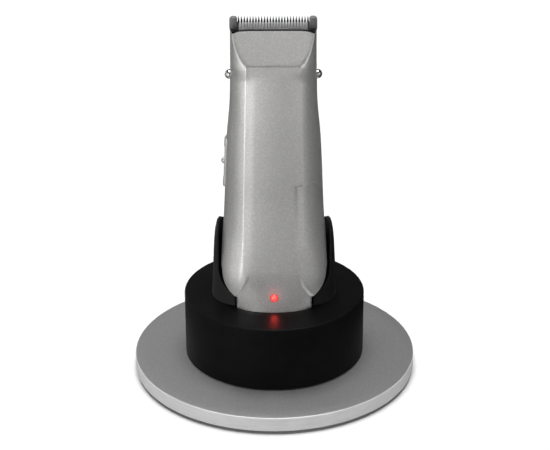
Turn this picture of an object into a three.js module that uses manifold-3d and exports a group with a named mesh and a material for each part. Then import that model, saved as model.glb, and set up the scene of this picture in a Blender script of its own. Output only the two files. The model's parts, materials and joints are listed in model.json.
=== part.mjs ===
// A cordless hair trimmer standing in a round charging stand.
// Millimetres, +Z up. The origin is the centre of the stand, on the table. The front faces -Y.

import * as THREE from 'three';
import { mergeVertices } from 'three/addons/utils/BufferGeometryUtils.js';
import Module from 'manifold-3d';

const wasm = await Module();
wasm.setup();

// ---------------------------------------------------------------- driving dimensions

const gap = 0.3; // clearance between pieces that touch
const farAway = 60; // larger than any piece, for cutting tools

// Stand
const plateRadius = 55;
const plateBottom = 1.0;
const plateTop = 7.0;
const footRadius = 5.6;
const footCircle = 44;
const footTop = 1.7;
const drumRadius = 35;
const drumTop = 33;
const drumWall = 2.5;
const bossCircle = 27;
const bossAngles = [30, 150, 270];
const jack = { halfWidth: 4.5, front: 24, rear: 33.2, bottom: 12, top: 21, z: 16.5, bore: 2.8, pin: 1.0 };

// Cradle
const cradleHalfWidthBase = 24.2;
const cradleHalfWidthTop = 23.2;
const cradleFront = 16.5;
const cradleRear = 20.3;
const cradleRoundness = 2.8;
const earTop = 62;
const rearRimTop = 46;
const pocketGap = 0.6;

// Socket cup under the drum's top
const cupBottom = 22;
const cupFloorTop = 23.5;
const cupLedgeTop = 24.7;
const cupWall = 1.8;
const contactSpacing = 14;
const contact = {
  blockBottom: 16.2,
  bore: 1.9,
  boreBottom: 17.2,
  springTop: 20.3,
  flangeTop: 21.2,
  tip: 24.5,
};

// Trimmer
const trimmerBottom = 25;
const wall = 1.6;
const footHalfWidth = 14.4;
const shoulderHalfWidth = 20.6;
const shoulderBottom = 37.6;
const shoulderTop = 47;
const shoulderBend = [[17.6, 39.6], [20.6, 42.5]]; // the curve's handles, as [x, z]
const splitPlane = 1.0;
const headTilt = 0.2262; // drop of the head's rim for each mm towards the rear
const rimHeightAtAxis = 138.55;
const scoop = { bottomY: -13.0, bottomZ: 128.6, topY: -5.6, topZ: 139.8 };
const grip = { bottom: 58, top: 83, depth: 0.9, innerEdge: 8 };
const light = { z: 38.7, radius: 1.8, frontY: -20.9, boardY: -8.8 };
const switchPlate = { bottom: 77.3, top: 96.5, halfDepth: 3.3, proud: 0.6 };
const nub = { z: 87.2, radius: 1.25, tipX: -19.9, travel: 4 };
const screwPlaces = [
  { name: 'housing_screw_lower', x: 0, z: 30.5, headY: 14 },
  { name: 'housing_screw_left', x: -12.6, z: 101, headY: 9.2 },
  { name: 'housing_screw_right', x: 12.6, z: 101, headY: 9.2 },
];

// Trimmer outline at a few heights. The front panel's crease is 0 where the section is round.
const bodyStations = [
  { z: 24, halfWidth: 20.5, front: 20.2, rear: 17.0, crease: 0 },
  { z: 43, halfWidth: 20.5, front: 20.2, rear: 17.0, crease: 0 },
  { z: 54, halfWidth: 20.1, front: 19.6, rear: 17.3, crease: 0.1 },
  { z: 65, halfWidth: 19.2, front: 19.0, rear: 17.5, crease: 0.5 },
  { z: 77, halfWidth: 18.6, front: 18.4, rear: 17.4, crease: 1 },
  { z: 87, halfWidth: 18.2, front: 18.0, rear: 17.0, crease: 1 },
  { z: 99, halfWidth: 17.5, front: 17.2, rear: 15.8, crease: 1 },
  { z: 109, halfWidth: 16.5, front: 16.4, rear: 14.5, crease: 1 },
  { z: 118, halfWidth: 16.1, front: 15.2, rear: 13.5, crease: 1 },
  { z: 128, halfWidth: 15.9, front: 13.5, rear: 11.5, crease: 1 },
  { z: 137, halfWidth: 15.85, front: 12.0, rear: 9.3, crease: 1 },
  { z: 148, halfWidth: 15.8, front: 10.5, rear: 6.8, crease: 1 },
];

// Motor, cam and blades
const driveAxisY = -1.5;
const camOffset = 0.5;
const camPinRadius = 0.6;
const forkSlot = 3.4; // lets the pin circle and the fork slide on their own
const battery = { radius: 7.1, bottom: 36, top: 85, y: 2.5 };
const motor = { radius: 10, halfDepth: 7.7, bottom: 88, top: 118 };
const catchHeight = 121.5;
const catchRadius = 1.8;
const fixedBlade = {
  rearY: 0.3,
  frontY: -1.1,
  bottom: 133.6,
  toothTip: 143.5,
  halfWidth: 16,
  lugWidth: 2.7,
};
const movingBlade = { rearY: -1.4, frontY: -2.1, bottom: 133.6, toothTip: 142.9, halfWidth: 12.6 };
const fixedTeeth = 26;
const movingTeeth = 22;
const toothDepth = 2.6;

// ---------------------------------------------------------------- finishes

const finishes = {
  silverPaint: { color: 0xb2b3b3, roughness: 0.36, metalness: 0.55 },
  plateMetal: { color: 0xa3a3a5, roughness: 0.42, metalness: 0.8 },
  blackPlastic: { color: 0x161616, roughness: 0.6, metalness: 0 },
  rubber: { color: 0x1b1b1b, roughness: 0.9, metalness: 0 },
  steel: { color: 0x9a9a9a, roughness: 0.3, metalness: 1 },
  bladeSteel: { color: 0x8d8f91, roughness: 0.35, metalness: 1 },
  chrome: { color: 0xd6d6d8, roughness: 0.1, metalness: 1 },
  gold: { color: 0xc9a24d, roughness: 0.3, metalness: 1 },
  whitePlastic: { color: 0xd9d9d4, roughness: 0.5, metalness: 0 },
  boardGreen: { color: 0x1f5a38, roughness: 0.5, metalness: 0 },
  cellBlue: { color: 0x28508c, roughness: 0.4, metalness: 0 },
  redLens: { color: 0xff2a22, roughness: 0.2, metalness: 0 },
};

// ---------------------------------------------------------------- solids from three.js geometry

// A closed geometry as a solid that can be joined and cut.
function solidOf(geometry) {
  const bare = geometry.clone();
  for (const name of Object.keys(bare.attributes)) {
    if (name !== 'position') bare.deleteAttribute(name);
  }
  const merged = mergeVertices(bare, 1e-5);
  const vertProperties = new Float32Array(merged.attributes.position.array);
  const triVerts = new Uint32Array(merged.index.array);
  return new wasm.Manifold(new wasm.Mesh({ numProp: 3, vertProperties, triVerts }));
}

function geometryOf(solid) {
  const mesh = solid.getMesh();
  const geometry = new THREE.BufferGeometry();
  geometry.setAttribute('position', new THREE.BufferAttribute(new Float32Array(mesh.vertProperties), 3));
  geometry.setIndex(new THREE.BufferAttribute(new Uint32Array(mesh.triVerts), 1));
  geometry.computeVertexNormals();
  return geometry;
}

function piece(name, solid, finish) {
  const mesh = new THREE.Mesh(geometryOf(solid), new THREE.MeshStandardMaterial(finishes[finish]));
  mesh.name = name;
  return mesh;
}

function box([x0, x1], [y0, y1], [z0, z1]) {
  const geometry = new THREE.BoxGeometry(x1 - x0, y1 - y0, z1 - z0);
  geometry.translate((x0 + x1) / 2, (y0 + y1) / 2, (z0 + z1) / 2);
  return solidOf(geometry);
}

// A cylinder from one point along an axis, 'x', 'y' or 'z', to a second coordinate on that axis.
function rod(radius, from, axis, to, sides = 24) {
  const start = from['xyz'.indexOf(axis)];
  const geometry = new THREE.CylinderGeometry(radius, radius, Math.abs(to - start), sides);
  if (axis === 'x') geometry.rotateZ(-Math.PI / 2);
  if (axis === 'z') geometry.rotateX(Math.PI / 2);
  const centre = [...from];
  centre['xyz'.indexOf(axis)] = (start + to) / 2;
  geometry.translate(...centre);
  return solidOf(geometry);
}

// A ring or disc turned about the vertical axis, from a closed profile of [radius, height] points.
function turned(profile, sides = 64) {
  const points = profile.map(([radius, height]) => new THREE.Vector2(radius, height));
  points.push(points[0].clone());
  const geometry = new THREE.LatheGeometry(points, sides);
  geometry.rotateX(Math.PI / 2);
  const solid = solidOf(geometry);
  return solid.volume() > 0 ? solid : solidOf(flipped(geometry));
}

function flipped(geometry) {
  const copy = geometry.clone();
  const order = copy.index.array;
  for (let i = 0; i < order.length; i += 3) {
    [order[i], order[i + 1]] = [order[i + 1], order[i]];
  }
  return copy;
}

// A tube with walls, as a closed turned ring standing at a place along an axis.
function tube(outer, inner, from, axis, to, sides = 24) {
  const bore = [...from];
  const index = 'xyz'.indexOf(axis);
  const sign = Math.sign(to - from[index]);
  bore[index] -= sign;
  return rod(outer, from, axis, to, sides).subtract(rod(inner, bore, axis, to + sign, sides));
}

function extruded(shape, depth, curveSegments = 8) {
  return new THREE.ExtrudeGeometry(shape, { depth, bevelEnabled: false, curveSegments });
}

// An outline in the XY plane, raised between two heights.
function upright(shape, z0, z1) {
  const geometry = extruded(shape, z1 - z0);
  geometry.translate(0, 0, z0);
  return solidOf(geometry);
}

// An outline drawn in the XZ plane, running between two depths.
function frontPrism(shape, y0, y1) {
  const geometry = extruded(shape, y1 - y0);
  geometry.rotateX(Math.PI / 2);
  geometry.translate(0, y1, 0);
  return solidOf(geometry);
}

// An outline drawn in the YZ plane, running between two widths.
function sidePrism(shape, x0, x1) {
  const geometry = extruded(shape, x1 - x0);
  geometry.rotateX(Math.PI / 2);
  geometry.rotateZ(Math.PI / 2);
  geometry.translate(x0, 0, 0);
  return solidOf(geometry);
}

function polygon(points) {
  return new THREE.Shape(points.map(([a, b]) => new THREE.Vector2(a, b)));
}

// Rings of equal point counts, [x, y] at rising heights, skinned and capped.
function loft(rings) {
  const count = rings[0].points.length;
  const vertices = [];
  for (const ring of rings) {
    for (const [x, y] of ring.points) vertices.push(x, y, ring.z);
  }
  const faces = [];
  for (let level = 0; level + 1 < rings.length; level += 1) {
    for (let i = 0; i < count; i += 1) {
      const a = level * count + i;
      const b = level * count + ((i + 1) % count);
      faces.push(a, b, b + count);
      faces.push(a, b + count, a + count);
    }
  }
  const bottomCentre = vertices.length / 3;
  vertices.push(0, 0, rings[0].z);
  vertices.push(0, 0, rings.at(-1).z);
  const topRow = (rings.length - 1) * count;
  for (let i = 0; i < count; i += 1) {
    const next = (i + 1) % count;
    faces.push(bottomCentre, next, i);
    faces.push(bottomCentre + 1, topRow + i, topRow + next);
  }
  const geometry = new THREE.BufferGeometry();
  geometry.setAttribute('position', new THREE.Float32BufferAttribute(vertices, 3));
  geometry.setIndex(faces);
  return solidOf(geometry);
}

function radians(degrees) {
  return (degrees * Math.PI) / 180;
}

function onCircle(radius, degrees) {
  return [radius * Math.cos(radians(degrees)), radius * Math.sin(radians(degrees))];
}

// ---------------------------------------------------------------- the trimmer's outline

function stationAt(z) {
  let upper = 1;
  while (upper < bodyStations.length - 1 && bodyStations[upper].z < z) upper += 1;
  const a = bodyStations[upper - 1];
  const b = bodyStations[upper];
  const t = (z - a.z) / (b.z - a.z);
  const between = (key) => a[key] + (b[key] - a[key]) * t;
  return {
    halfWidth: between('halfWidth'),
    front: between('front'),
    rear: between('rear'),
    crease: between('crease'),
    creaseHalfWidth: 11.3 - 0.037 * (z - 80),
    flankPower: Math.min(Math.max(2.2 + 0.08 * (z - 105), 2.2), 4),
  };
}

// Distance of the front surface ahead of the axis, at a distance x to the side.
function frontDepth(x, station) {
  const { halfWidth, front, crease, creaseHalfWidth, flankPower } = station;
  const side = Math.min(Math.abs(x) / halfWidth, 1);
  const round = front * (1 - side ** 2.3) ** (1 / 2.3);
  const creaseDrop = 0.7;
  if (Math.abs(x) <= creaseHalfWidth) {
    const panel = front - creaseDrop * (x / creaseHalfWidth) ** 2;
    return round + (panel - round) * crease;
  }
  const t = Math.min((Math.abs(x) - creaseHalfWidth) / (halfWidth - creaseHalfWidth), 1);
  const flank = (front - creaseDrop) * Math.sqrt(Math.max(0, 1 - 0.35 * t - 0.65 * t ** flankPower));
  return round + (flank - round) * crease;
}

// Outline of the trimmer at one height, grown outwards by a distance, as [x, y] points seen from above.
function bodyRing(z, grow = 0, atHeight = z) {
  const station = stationAt(z);
  station.halfWidth += grow;
  station.front += grow;
  station.rear += grow;
  const points = [];
  const creaseAngle = Math.asin(station.creaseHalfWidth / station.halfWidth);
  const flankSteps = 6;
  const panelSteps = 4;
  const rearSteps = 16;
  for (let i = 0; i < flankSteps; i += 1) {
    const angle = -Math.PI / 2 + ((Math.PI / 2 - creaseAngle) * i) / flankSteps;
    const x = station.halfWidth * Math.sin(angle);
    points.push([x, -frontDepth(x, station)]);
  }
  for (let i = 0; i < panelSteps; i += 1) {
    const x = station.creaseHalfWidth * ((2 * i) / panelSteps - 1);
    points.push([x, -frontDepth(x, station)]);
  }
  for (let i = 0; i < flankSteps; i += 1) {
    const angle = creaseAngle + ((Math.PI / 2 - creaseAngle) * i) / flankSteps;
    const x = station.halfWidth * Math.sin(angle);
    points.push([x, -frontDepth(x, station)]);
  }
  for (let i = 0; i < rearSteps; i += 1) {
    const angle = (Math.PI * i) / rearSteps;
    const x = station.halfWidth * Math.sign(Math.cos(angle)) * Math.abs(Math.cos(angle)) ** (2 / 2.4);
    points.push([x, station.rear * Math.sin(angle) ** (2 / 2.4)]);
  }
  return { z: atHeight, points };
}

// Front view of the trimmer: a narrow foot that widens through round shoulders. Drawn in XZ.
function shoulderShape(grow = 0) {
  const foot = footHalfWidth + grow;
  const full = shoulderHalfWidth + grow;
  const [[lowX, lowZ], [highX, highZ]] = shoulderBend;
  const shape = new THREE.Shape();
  shape.moveTo(-foot, trimmerBottom - 20);
  shape.lineTo(foot, trimmerBottom - 20);
  shape.lineTo(foot, shoulderBottom - grow);
  shape.bezierCurveTo(lowX + grow, lowZ - grow, highX + grow, highZ - grow, full, shoulderTop);
  shape.lineTo(full, 160);
  shape.lineTo(-full, 160);
  shape.lineTo(-full, shoulderTop);
  shape.bezierCurveTo(-highX - grow, highZ - grow, -lowX - grow, lowZ - grow, -foot, shoulderBottom - grow);
  return shape;
}

// The trimmer's whole body, grown or shrunk by a distance, before the head's cuts.
function bodySolid(grow, bottom, top) {
  const heights = bodyStations.map((station) => station.z).filter((z) => z > bottom && z < top);
  const rings = [bottom, ...heights, top].map((z) => bodyRing(z, grow));
  return loft(rings).intersect(frontPrism(shoulderShape(grow), -farAway, farAway));
}

// Everything ahead of the head's sloping flat, or above its rim, seen from the side in YZ.
function headCut(inset) {
  const slope = (scoop.topY - scoop.bottomY) / (scoop.topZ - scoop.bottomZ);
  const shift = inset * Math.hypot(1, slope);
  const planeY = (z) => scoop.bottomY + shift + slope * (z - scoop.bottomZ);
  return sidePrism(
    polygon([
      [planeY(100), 100],
      [planeY(160), 160],
      [-farAway, 160],
      [-farAway, 100],
    ]),
    -farAway,
    farAway,
  );
}

function rimHeight(y) {
  return rimHeightAtAxis - headTilt * y;
}

function aboveRim(offset) {
  return sidePrism(
    polygon([
      [-farAway, rimHeight(-farAway) + offset],
      [farAway, rimHeight(farAway) + offset],
      [farAway, 200],
      [-farAway, 200],
    ]),
    -farAway,
    farAway,
  );
}

// ---------------------------------------------------------------- stand

function makeBasePlate() {
  const disc = turned([
    [0, plateBottom],
    [plateRadius - 0.8, plateBottom],
    [plateRadius, plateBottom + 0.8],
    [plateRadius, plateTop - 0.8],
    [plateRadius - 0.3, plateTop - 0.25],
    [plateRadius - 0.8, plateTop],
    [0, plateTop],
  ]);
  let plate = disc;
  for (let i = 0; i < 4; i += 1) {
    const [x, y] = onCircle(footCircle, 45 + 90 * i);
    plate = plate.subtract(rod(footRadius + gap, [x, y, 0], 'z', footTop + gap));
  }
  for (const angle of bossAngles) {
    const [x, y] = onCircle(bossCircle, angle);
    plate = plate.subtract(rod(3.1, [x, y, 0], 'z', 3.6));
    plate = plate.subtract(rod(1.5, [x, y, 0], 'z', plateTop + 1, 16));
  }
  return piece('base_plate', plate, 'plateMetal');
}

function makeFeet() {
  return [1, 2, 3, 4].map((number) => {
    const [x, y] = onCircle(footCircle, 45 + 90 * (number - 1));
    return piece(`rubber_foot_${number}`, rod(footRadius, [x, y, 0], 'z', footTop), 'rubber');
  });
}

function makeDockScrews() {
  return bossAngles.map((angle, index) => {
    const [x, y] = onCircle(bossCircle, angle);
    const head = rod(2.8, [x, y, 1.8], 'z', 3.3, 16);
    const shank = rod(1.2, [x, y, 3.0], 'z', 17, 12);
    return piece(`dock_screw_${index + 1}`, head.add(shank), 'steel');
  });
}

function makeDrum() {
  const bottom = plateTop + gap;
  const innerRadius = drumRadius - drumWall;
  const innerTop = drumTop - drumWall;
  let drum = turned([
    [0, innerTop],
    [innerRadius, innerTop],
    [innerRadius, bottom],
    [drumRadius, bottom],
    [drumRadius, drumTop - 1],
    [drumRadius - 0.3, drumTop - 0.3],
    [drumRadius - 1, drumTop],
    [0, drumTop],
  ]);
  for (const angle of bossAngles) {
    const [x, y] = onCircle(bossCircle, angle);
    drum = drum.add(rod(3.2, [x, y, bottom], 'z', innerTop + 0.5, 16));
    drum = drum.subtract(rod(1.5, [x, y, 0], 'z', 18, 12));
  }
  const footHole = bodySolid(0.5, 29, drumTop + 1);
  const jackHole = rod(jack.bore + 0.8, [0, drumRadius - 6, jack.z], 'y', drumRadius + 5);
  return piece('dock_housing', drum.subtract(footHole).subtract(jackHole), 'blackPlastic');
}

function makeJack() {
  const body = box(
    [-jack.halfWidth, jack.halfWidth],
    [jack.front, drumRadius - drumWall - 1],
    [jack.bottom, jack.top],
  );
  const nose = rod(jack.bore + 0.5, [0, jack.front + 3, jack.z], 'y', jack.rear);
  const bore = rod(jack.bore, [0, jack.front + 1.5, jack.z], 'y', jack.rear + 2);
  const pin = rod(jack.pin, [0, jack.front + 1, jack.z], 'y', jack.rear - 1, 12);
  return piece('power_jack', body.add(nose).subtract(bore).add(pin), 'blackPlastic');
}

function cradleRing(z, grow = 0) {
  const t = (z - drumTop) / (earTop - drumTop);
  const halfWidth = cradleHalfWidthBase + (cradleHalfWidthTop - cradleHalfWidthBase) * t + grow;
  const steps = 48;
  const points = [];
  for (let i = 0; i < steps; i += 1) {
    const angle = (2 * Math.PI * i) / steps;
    const across = Math.cos(angle);
    const along = Math.sin(angle);
    const depth = along < 0 ? cradleFront : cradleRear;
    points.push([
      halfWidth * Math.sign(across) * Math.abs(across) ** (2 / cradleRoundness),
      (depth + grow) * Math.sign(along) * Math.abs(along) ** (2 / cradleRoundness),
    ]);
  }
  return { z, points };
}

// Front view of the cradle: straight sides with round ear tops. Drawn in XZ.
function earFrontShape() {
  const outer = cradleHalfWidthTop + 2;
  const shape = new THREE.Shape();
  shape.moveTo(-outer, drumTop);
  shape.lineTo(outer, drumTop);
  shape.lineTo(outer, earTop - 5.5);
  shape.bezierCurveTo(outer - 1.2, earTop - 2.5, outer - 3.2, earTop, outer - 6, earTop);
  shape.lineTo(-outer + 6, earTop);
  shape.bezierCurveTo(-outer + 3.2, earTop, -outer + 1.2, earTop - 2.5, -outer, earTop - 5.5);
  return shape;
}

// Side view of the cradle: tall ears at the middle, a lower wall at the rear. Drawn in YZ.
function earSideShape() {
  const shape = new THREE.Shape();
  shape.moveTo(-25, drumTop);
  shape.lineTo(25, drumTop);
  shape.lineTo(25, rearRimTop);
  shape.lineTo(17, rearRimTop);
  shape.bezierCurveTo(13.5, rearRimTop, 13, 58.5, 1, earTop);
  shape.lineTo(-6, earTop);
  shape.bezierCurveTo(-9.5, earTop, -11.2, 60, -11.6, 50);
  shape.lineTo(-25, 48.5);
  return shape;
}

function makeCradle() {
  const bottom = drumTop + gap;
  const outer = loft([cradleRing(bottom), cradleRing(48), cradleRing(earTop + 1)])
    .intersect(frontPrism(earFrontShape(), -farAway, farAway))
    .intersect(sidePrism(earSideShape(), -farAway, farAway));
  const pocketRings = [bodyRing(43, pocketGap, 20), bodyRing(43, pocketGap, 90)];
  const pocket = loft(pocketRings).intersect(frontPrism(shoulderShape(pocketGap), -farAway, farAway));
  const frontOpening = frontPrism(shoulderShape(pocketGap), -farAway, 0);
  return piece('cradle', outer.subtract(pocket).subtract(frontOpening), 'blackPlastic');
}

function makeCup() {
  const top = drumTop - drumWall - gap;
  const outer = bodySolid(0.5 + cupWall, cupBottom, top);
  const pocket = bodySolid(0.5, cupLedgeTop, top + 1);
  const well = bodySolid(-2, cupFloorTop, cupLedgeTop + 1);
  let cup = outer.subtract(pocket).subtract(well);
  for (const side of [-1, 1]) {
    cup = cup.subtract(rod(1.45, [(side * contactSpacing) / 2, 0, cupBottom - 1], 'z', cupFloorTop + 1, 16));
  }
  return piece('socket_cup', cup, 'blackPlastic');
}

function makeDockElectrics() {
  const meshes = [];
  let block = box([-10, 10], [-4, 4], [contact.blockBottom, cupBottom - gap]);
  for (const [name, side] of [['left', -1], ['right', 1]]) {
    const x = (side * contactSpacing) / 2;
    block = block.subtract(rod(contact.bore, [x, 0, contact.boreBottom], 'z', cupBottom + 1, 20));
    const flange = rod(1.6, [x, 0, contact.springTop + gap], 'z', contact.flangeTop, 16);
    const stem = rod(1.1, [x, 0, contact.springTop + gap], 'z', contact.tip - 0.5, 16);
    const tip = rod(0.8, [x, 0, contact.springTop + gap], 'z', contact.tip, 16);
    meshes.push(piece(`contact_pin_${name}`, flange.add(stem).add(tip), 'gold'));
    const spring = tube(1.5, 0.9, [x, 0, contact.boreBottom + gap], 'z', contact.springTop, 16);
    meshes.push(piece(`contact_spring_${name}`, spring, 'steel'));
  }
  meshes.push(piece('contact_block', block, 'blackPlastic'));
  meshes.push(piece('dock_board', box([-17, 17], [-14, 20], [14.3, 15.9]), 'boardGreen'));
  return meshes;
}

// ---------------------------------------------------------------- trimmer housings

// Shallow finger grip on the front's right: deepest at its top edge, running out lower down.
function gripCut() {
  const { bottom, top, depth, innerEdge } = grip;
  const core = loft([
    bodyRing(bottom, 0.05),
    bodyRing(65, -0.25),
    bodyRing(top, -depth),
    bodyRing(top + 2.5, -depth),
  ]);
  const outline = new THREE.Shape();
  outline.moveTo(innerEdge + 0.2, bottom);
  outline.lineTo(innerEdge, top);
  outline.quadraticCurveTo(13, top + 3, 18.2, top);
  outline.lineTo(30, top - 3);
  outline.lineTo(30, bottom);
  return frontPrism(outline, -farAway, -3).subtract(core);
}

// The slot that the switch's nub slides up in.
function nubSlot() {
  const half = nub.radius + 0.35;
  return box([-farAway, -12], [-half, half], [nub.z - half, nub.z + nub.travel + half]);
}

function makeShell() {
  const outer = bodySolid(0, trimmerBottom, 147).subtract(headCut(0)).subtract(aboveRim(0));
  const inner = bodySolid(-wall, trimmerBottom + wall, 147.5).subtract(headCut(wall));
  let shell = outer.subtract(inner);
  for (const side of [-1, 1]) {
    shell = shell.subtract(rod(catchRadius + gap, [side * 8, 0, catchHeight], 'x', side * 25, 20));
    const contactHole = box(
      [(side * contactSpacing) / 2 - 2.8, (side * contactSpacing) / 2 + 2.8],
      [-2.8, 2.8],
      [20, trimmerBottom + wall + 1],
    );
    shell = shell.subtract(contactHole);
  }
  shell = shell.subtract(rod(light.radius + gap, [0, -farAway, light.z], 'y', -12, 20));
  return shell.subtract(nubSlot()).subtract(gripCut());
}

// Screw posts that join the two housings: the front half holds the thread, the rear half the head.
function screwPosts() {
  let posts = null;
  for (const place of screwPlaces) {
    const post = rod(2.4, [place.x, -22, place.z], 'y', place.headY + 4, 16);
    posts = posts ? posts.add(post) : post;
  }
  return posts.intersect(bodySolid(-0.8, trimmerBottom + 0.5, 140));
}

function makeHousings() {
  const solid = makeShell().add(screwPosts());
  let front = solid.intersect(box([-farAway, farAway], [-farAway, splitPlane - gap / 2], [0, 200]));
  let rear = solid.intersect(box([-farAway, farAway], [splitPlane + gap / 2, farAway], [0, 200]));
  for (const place of screwPlaces) {
    front = front.subtract(rod(1.3, [place.x, -4.5, place.z], 'y', farAway, 12));
    rear = rear.subtract(rod(1.3, [place.x, -4.5, place.z], 'y', farAway, 12));
    rear = rear.subtract(rod(2.1, [place.x, place.headY - gap, place.z], 'y', farAway, 16));
  }
  return [piece('front_housing', front, 'silverPaint'), piece('rear_housing', rear, 'silverPaint')];
}

function makeHousingScrews() {
  return screwPlaces.map((place) => {
    const head = rod(1.8, [place.x, place.headY, place.z], 'y', place.headY + 1.2, 16);
    const shank = rod(1.0, [place.x, -4, place.z], 'y', place.headY + 0.5, 12);
    return piece(place.name, head.add(shank), 'steel');
  });
}

// ---------------------------------------------------------------- trimmer electrics and switch

function makeContactsAndLight() {
  const meshes = [];
  for (const [name, side] of [['left', -1], ['right', 1]]) {
    const x = (side * contactSpacing) / 2;
    const plate = box([x - 2.5, x + 2.5], [-2.5, 2.5], [trimmerBottom - 0.1, trimmerBottom + 2.2]);
    meshes.push(piece(`charge_contact_${name}`, plate, 'gold'));
  }
  const board = box([-11, 11], [light.boardY + gap, light.boardY + gap + 1.4], [34, 86]);
  meshes.push(piece('circuit_board', board, 'boardGreen'));
  const emitter = rod(1.3, [0, light.boardY, light.z], 'y', -16.2, 16);
  meshes.push(piece('status_light', emitter, 'redLens'));
  const lensBody = rod(light.radius, [0, -16.5, light.z], 'y', light.frontY + 0.8, 20);
  const lensDome = new THREE.SphereGeometry(light.radius, 20, 10);
  lensDome.scale(1, 0.45, 1);
  lensDome.translate(0, light.frontY + 0.8, light.z);
  meshes.push(piece('light_lens', lensBody.add(solidOf(lensDome)), 'redLens'));
  return meshes;
}

function makeBattery() {
  const centre = [0, battery.y, battery.bottom];
  const button = rod(2.6, [0, battery.y, battery.top - 2], 'z', battery.top, 16);
  const cell = rod(battery.radius, centre, 'z', battery.top - 1, 28).add(button);
  const tabTop = box([-3, 3], [battery.y - 3, battery.y + 3], [battery.top + gap, battery.top + gap + 0.4]);
  const tabBottom = box(
    [-3, 3],
    [battery.y - 3, battery.y + 3],
    [battery.bottom - gap - 0.4, battery.bottom - gap],
  );
  return [
    piece('battery_cell', cell, 'cellBlue'),
    piece('battery_tab_top', tabTop, 'steel'),
    piece('battery_tab_bottom', tabBottom, 'steel'),
  ];
}

function makeSwitch() {
  const { bottom, top, halfDepth, proud } = switchPlate;
  const window = box([-farAway, 0], [-halfDepth, halfDepth], [bottom, top]);
  const rings = (grow) => loft([bodyRing(bottom - 1, grow), bodyRing(87, grow), bodyRing(top + 1, grow)]);
  const plate = rings(proud).subtract(rings(gap)).intersect(window).subtract(nubSlot());
  const ballX = nub.tipX + nub.radius;
  const ball = new THREE.SphereGeometry(nub.radius, 20, 12);
  ball.translate(ballX, 0, nub.z);
  const stem = rod(nub.radius, [-15.7, 0, nub.z], 'x', ballX, 20).add(solidOf(ball));
  const slider = box([-15.9, -15.45], [-2.6, 2.6], [nub.z - 2.75, nub.z + 2.75]);
  const body = box([-15.15, -11.6], [-3.2, 3.2], [81, 95]);
  return [
    piece('switch_plate', plate, 'silverPaint'),
    piece('switch_button', stem.add(slider), 'silverPaint'),
    piece('switch_body', body, 'blackPlastic'),
  ];
}

// ---------------------------------------------------------------- motor and comb catches

function makeMotor() {
  const y = driveAxisY;
  const flats = box([-motor.radius, motor.radius], [y - motor.halfDepth, y + motor.halfDepth], [80, 130]);
  const can = rod(motor.radius, [0, y, motor.bottom], 'z', motor.top, 32)
    .intersect(flats)
    .subtract(rod(1.3, [0, y, 108], 'z', motor.top + 1, 16));
  const capTop = motor.bottom - gap;
  const cap = rod(motor.radius - 0.6, [0, y, capTop - 1.3], 'z', capTop, 32).intersect(flats);
  const bracketBottom = motor.top + gap;
  let bracket = box([-9.5, 9.5], [y - 7, y + 7], [bracketBottom, bracketBottom + 1.4]);
  bracket = bracket.subtract(rod(1.5, [0, y, bracketBottom - 1], 'z', bracketBottom + 3, 16));
  for (const side of [-1, 1]) {
    const lugWidths = [side * 8.5, side * 9.5].sort((a, b) => a - b);
    bracket = bracket.add(box(lugWidths, [-2.6, 2.6], [bracketBottom, catchHeight + 2.6]));
  }
  return [
    piece('motor', can, 'steel'),
    piece('motor_end_cap', cap, 'whitePlastic'),
    piece('motor_bracket', bracket, 'blackPlastic'),
  ];
}

function makeRotor() {
  const y = driveAxisY;
  const shaft = rod(1.0, [0, y, 108.3], 'z', 122.4, 16);
  const disc = rod(3.4, [0, y, 120.6], 'z', 124.2, 24);
  const pin = rod(camPinRadius, [0, y + camOffset, 124], 'z', 132.6, 16);
  const cam = disc.add(pin).subtract(rod(1.3, [0, y, 120], 'z', 122.7, 16));
  return [piece('motor_shaft', shaft, 'steel'), piece('eccentric_cam', cam, 'whitePlastic')];
}

function makeCatches() {
  const meshes = [];
  for (const [name, side] of [['left', -1], ['right', 1]]) {
    const at = (x) => [side * x, 0, catchHeight];
    const ball = new THREE.SphereGeometry(catchRadius, 16, 10);
    ball.translate(side * 16.2, 0, catchHeight);
    const stem = rod(1.2, at(13.2), 'x', side * 16, 16);
    const flange = rod(2.6, at(13.2), 'x', side * 14.1, 20);
    meshes.push(piece(`comb_catch_${name}`, solidOf(ball).add(stem).add(flange), 'chrome'));
    const spring = tube(1.7, 1.0, at(9.5 + gap), 'x', side * (13.2 - gap), 16);
    meshes.push(piece(`catch_spring_${name}`, spring, 'steel'));
  }
  return meshes;
}

// ---------------------------------------------------------------- blades

// Comb outline in XZ: a plate with evenly spaced teeth along its top edge.
function combShape(halfWidth, bottom, tip, count, toothShare) {
  const pitch = (2 * halfWidth) / count;
  const root = tip - toothDepth;
  const points = [
    [-halfWidth, bottom],
    [halfWidth, bottom],
  ];
  for (let i = count - 1; i >= 0; i -= 1) {
    const centre = -halfWidth + pitch * (i + 0.5);
    const half = (pitch * toothShare) / 2;
    points.push([centre + half, root]);
    points.push([centre + half * 0.7, tip]);
    points.push([centre - half * 0.7, tip]);
    points.push([centre - half, root]);
  }
  return polygon(points);
}

function lugShape(side) {
  const outer = side * fixedBlade.halfWidth;
  const inner = side * (fixedBlade.halfWidth - fixedBlade.lugWidth);
  const shape = new THREE.Shape();
  shape.moveTo(outer, 139.9);
  shape.lineTo(outer, fixedBlade.toothTip - 0.7);
  shape.quadraticCurveTo(outer, fixedBlade.toothTip + 0.3, outer - side, fixedBlade.toothTip + 0.3);
  shape.lineTo(inner + side * 0.6, fixedBlade.toothTip + 0.3);
  shape.quadraticCurveTo(inner, fixedBlade.toothTip + 0.3, inner, fixedBlade.toothTip - 0.4);
  shape.lineTo(inner, 139.9);
  return shape;
}

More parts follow.
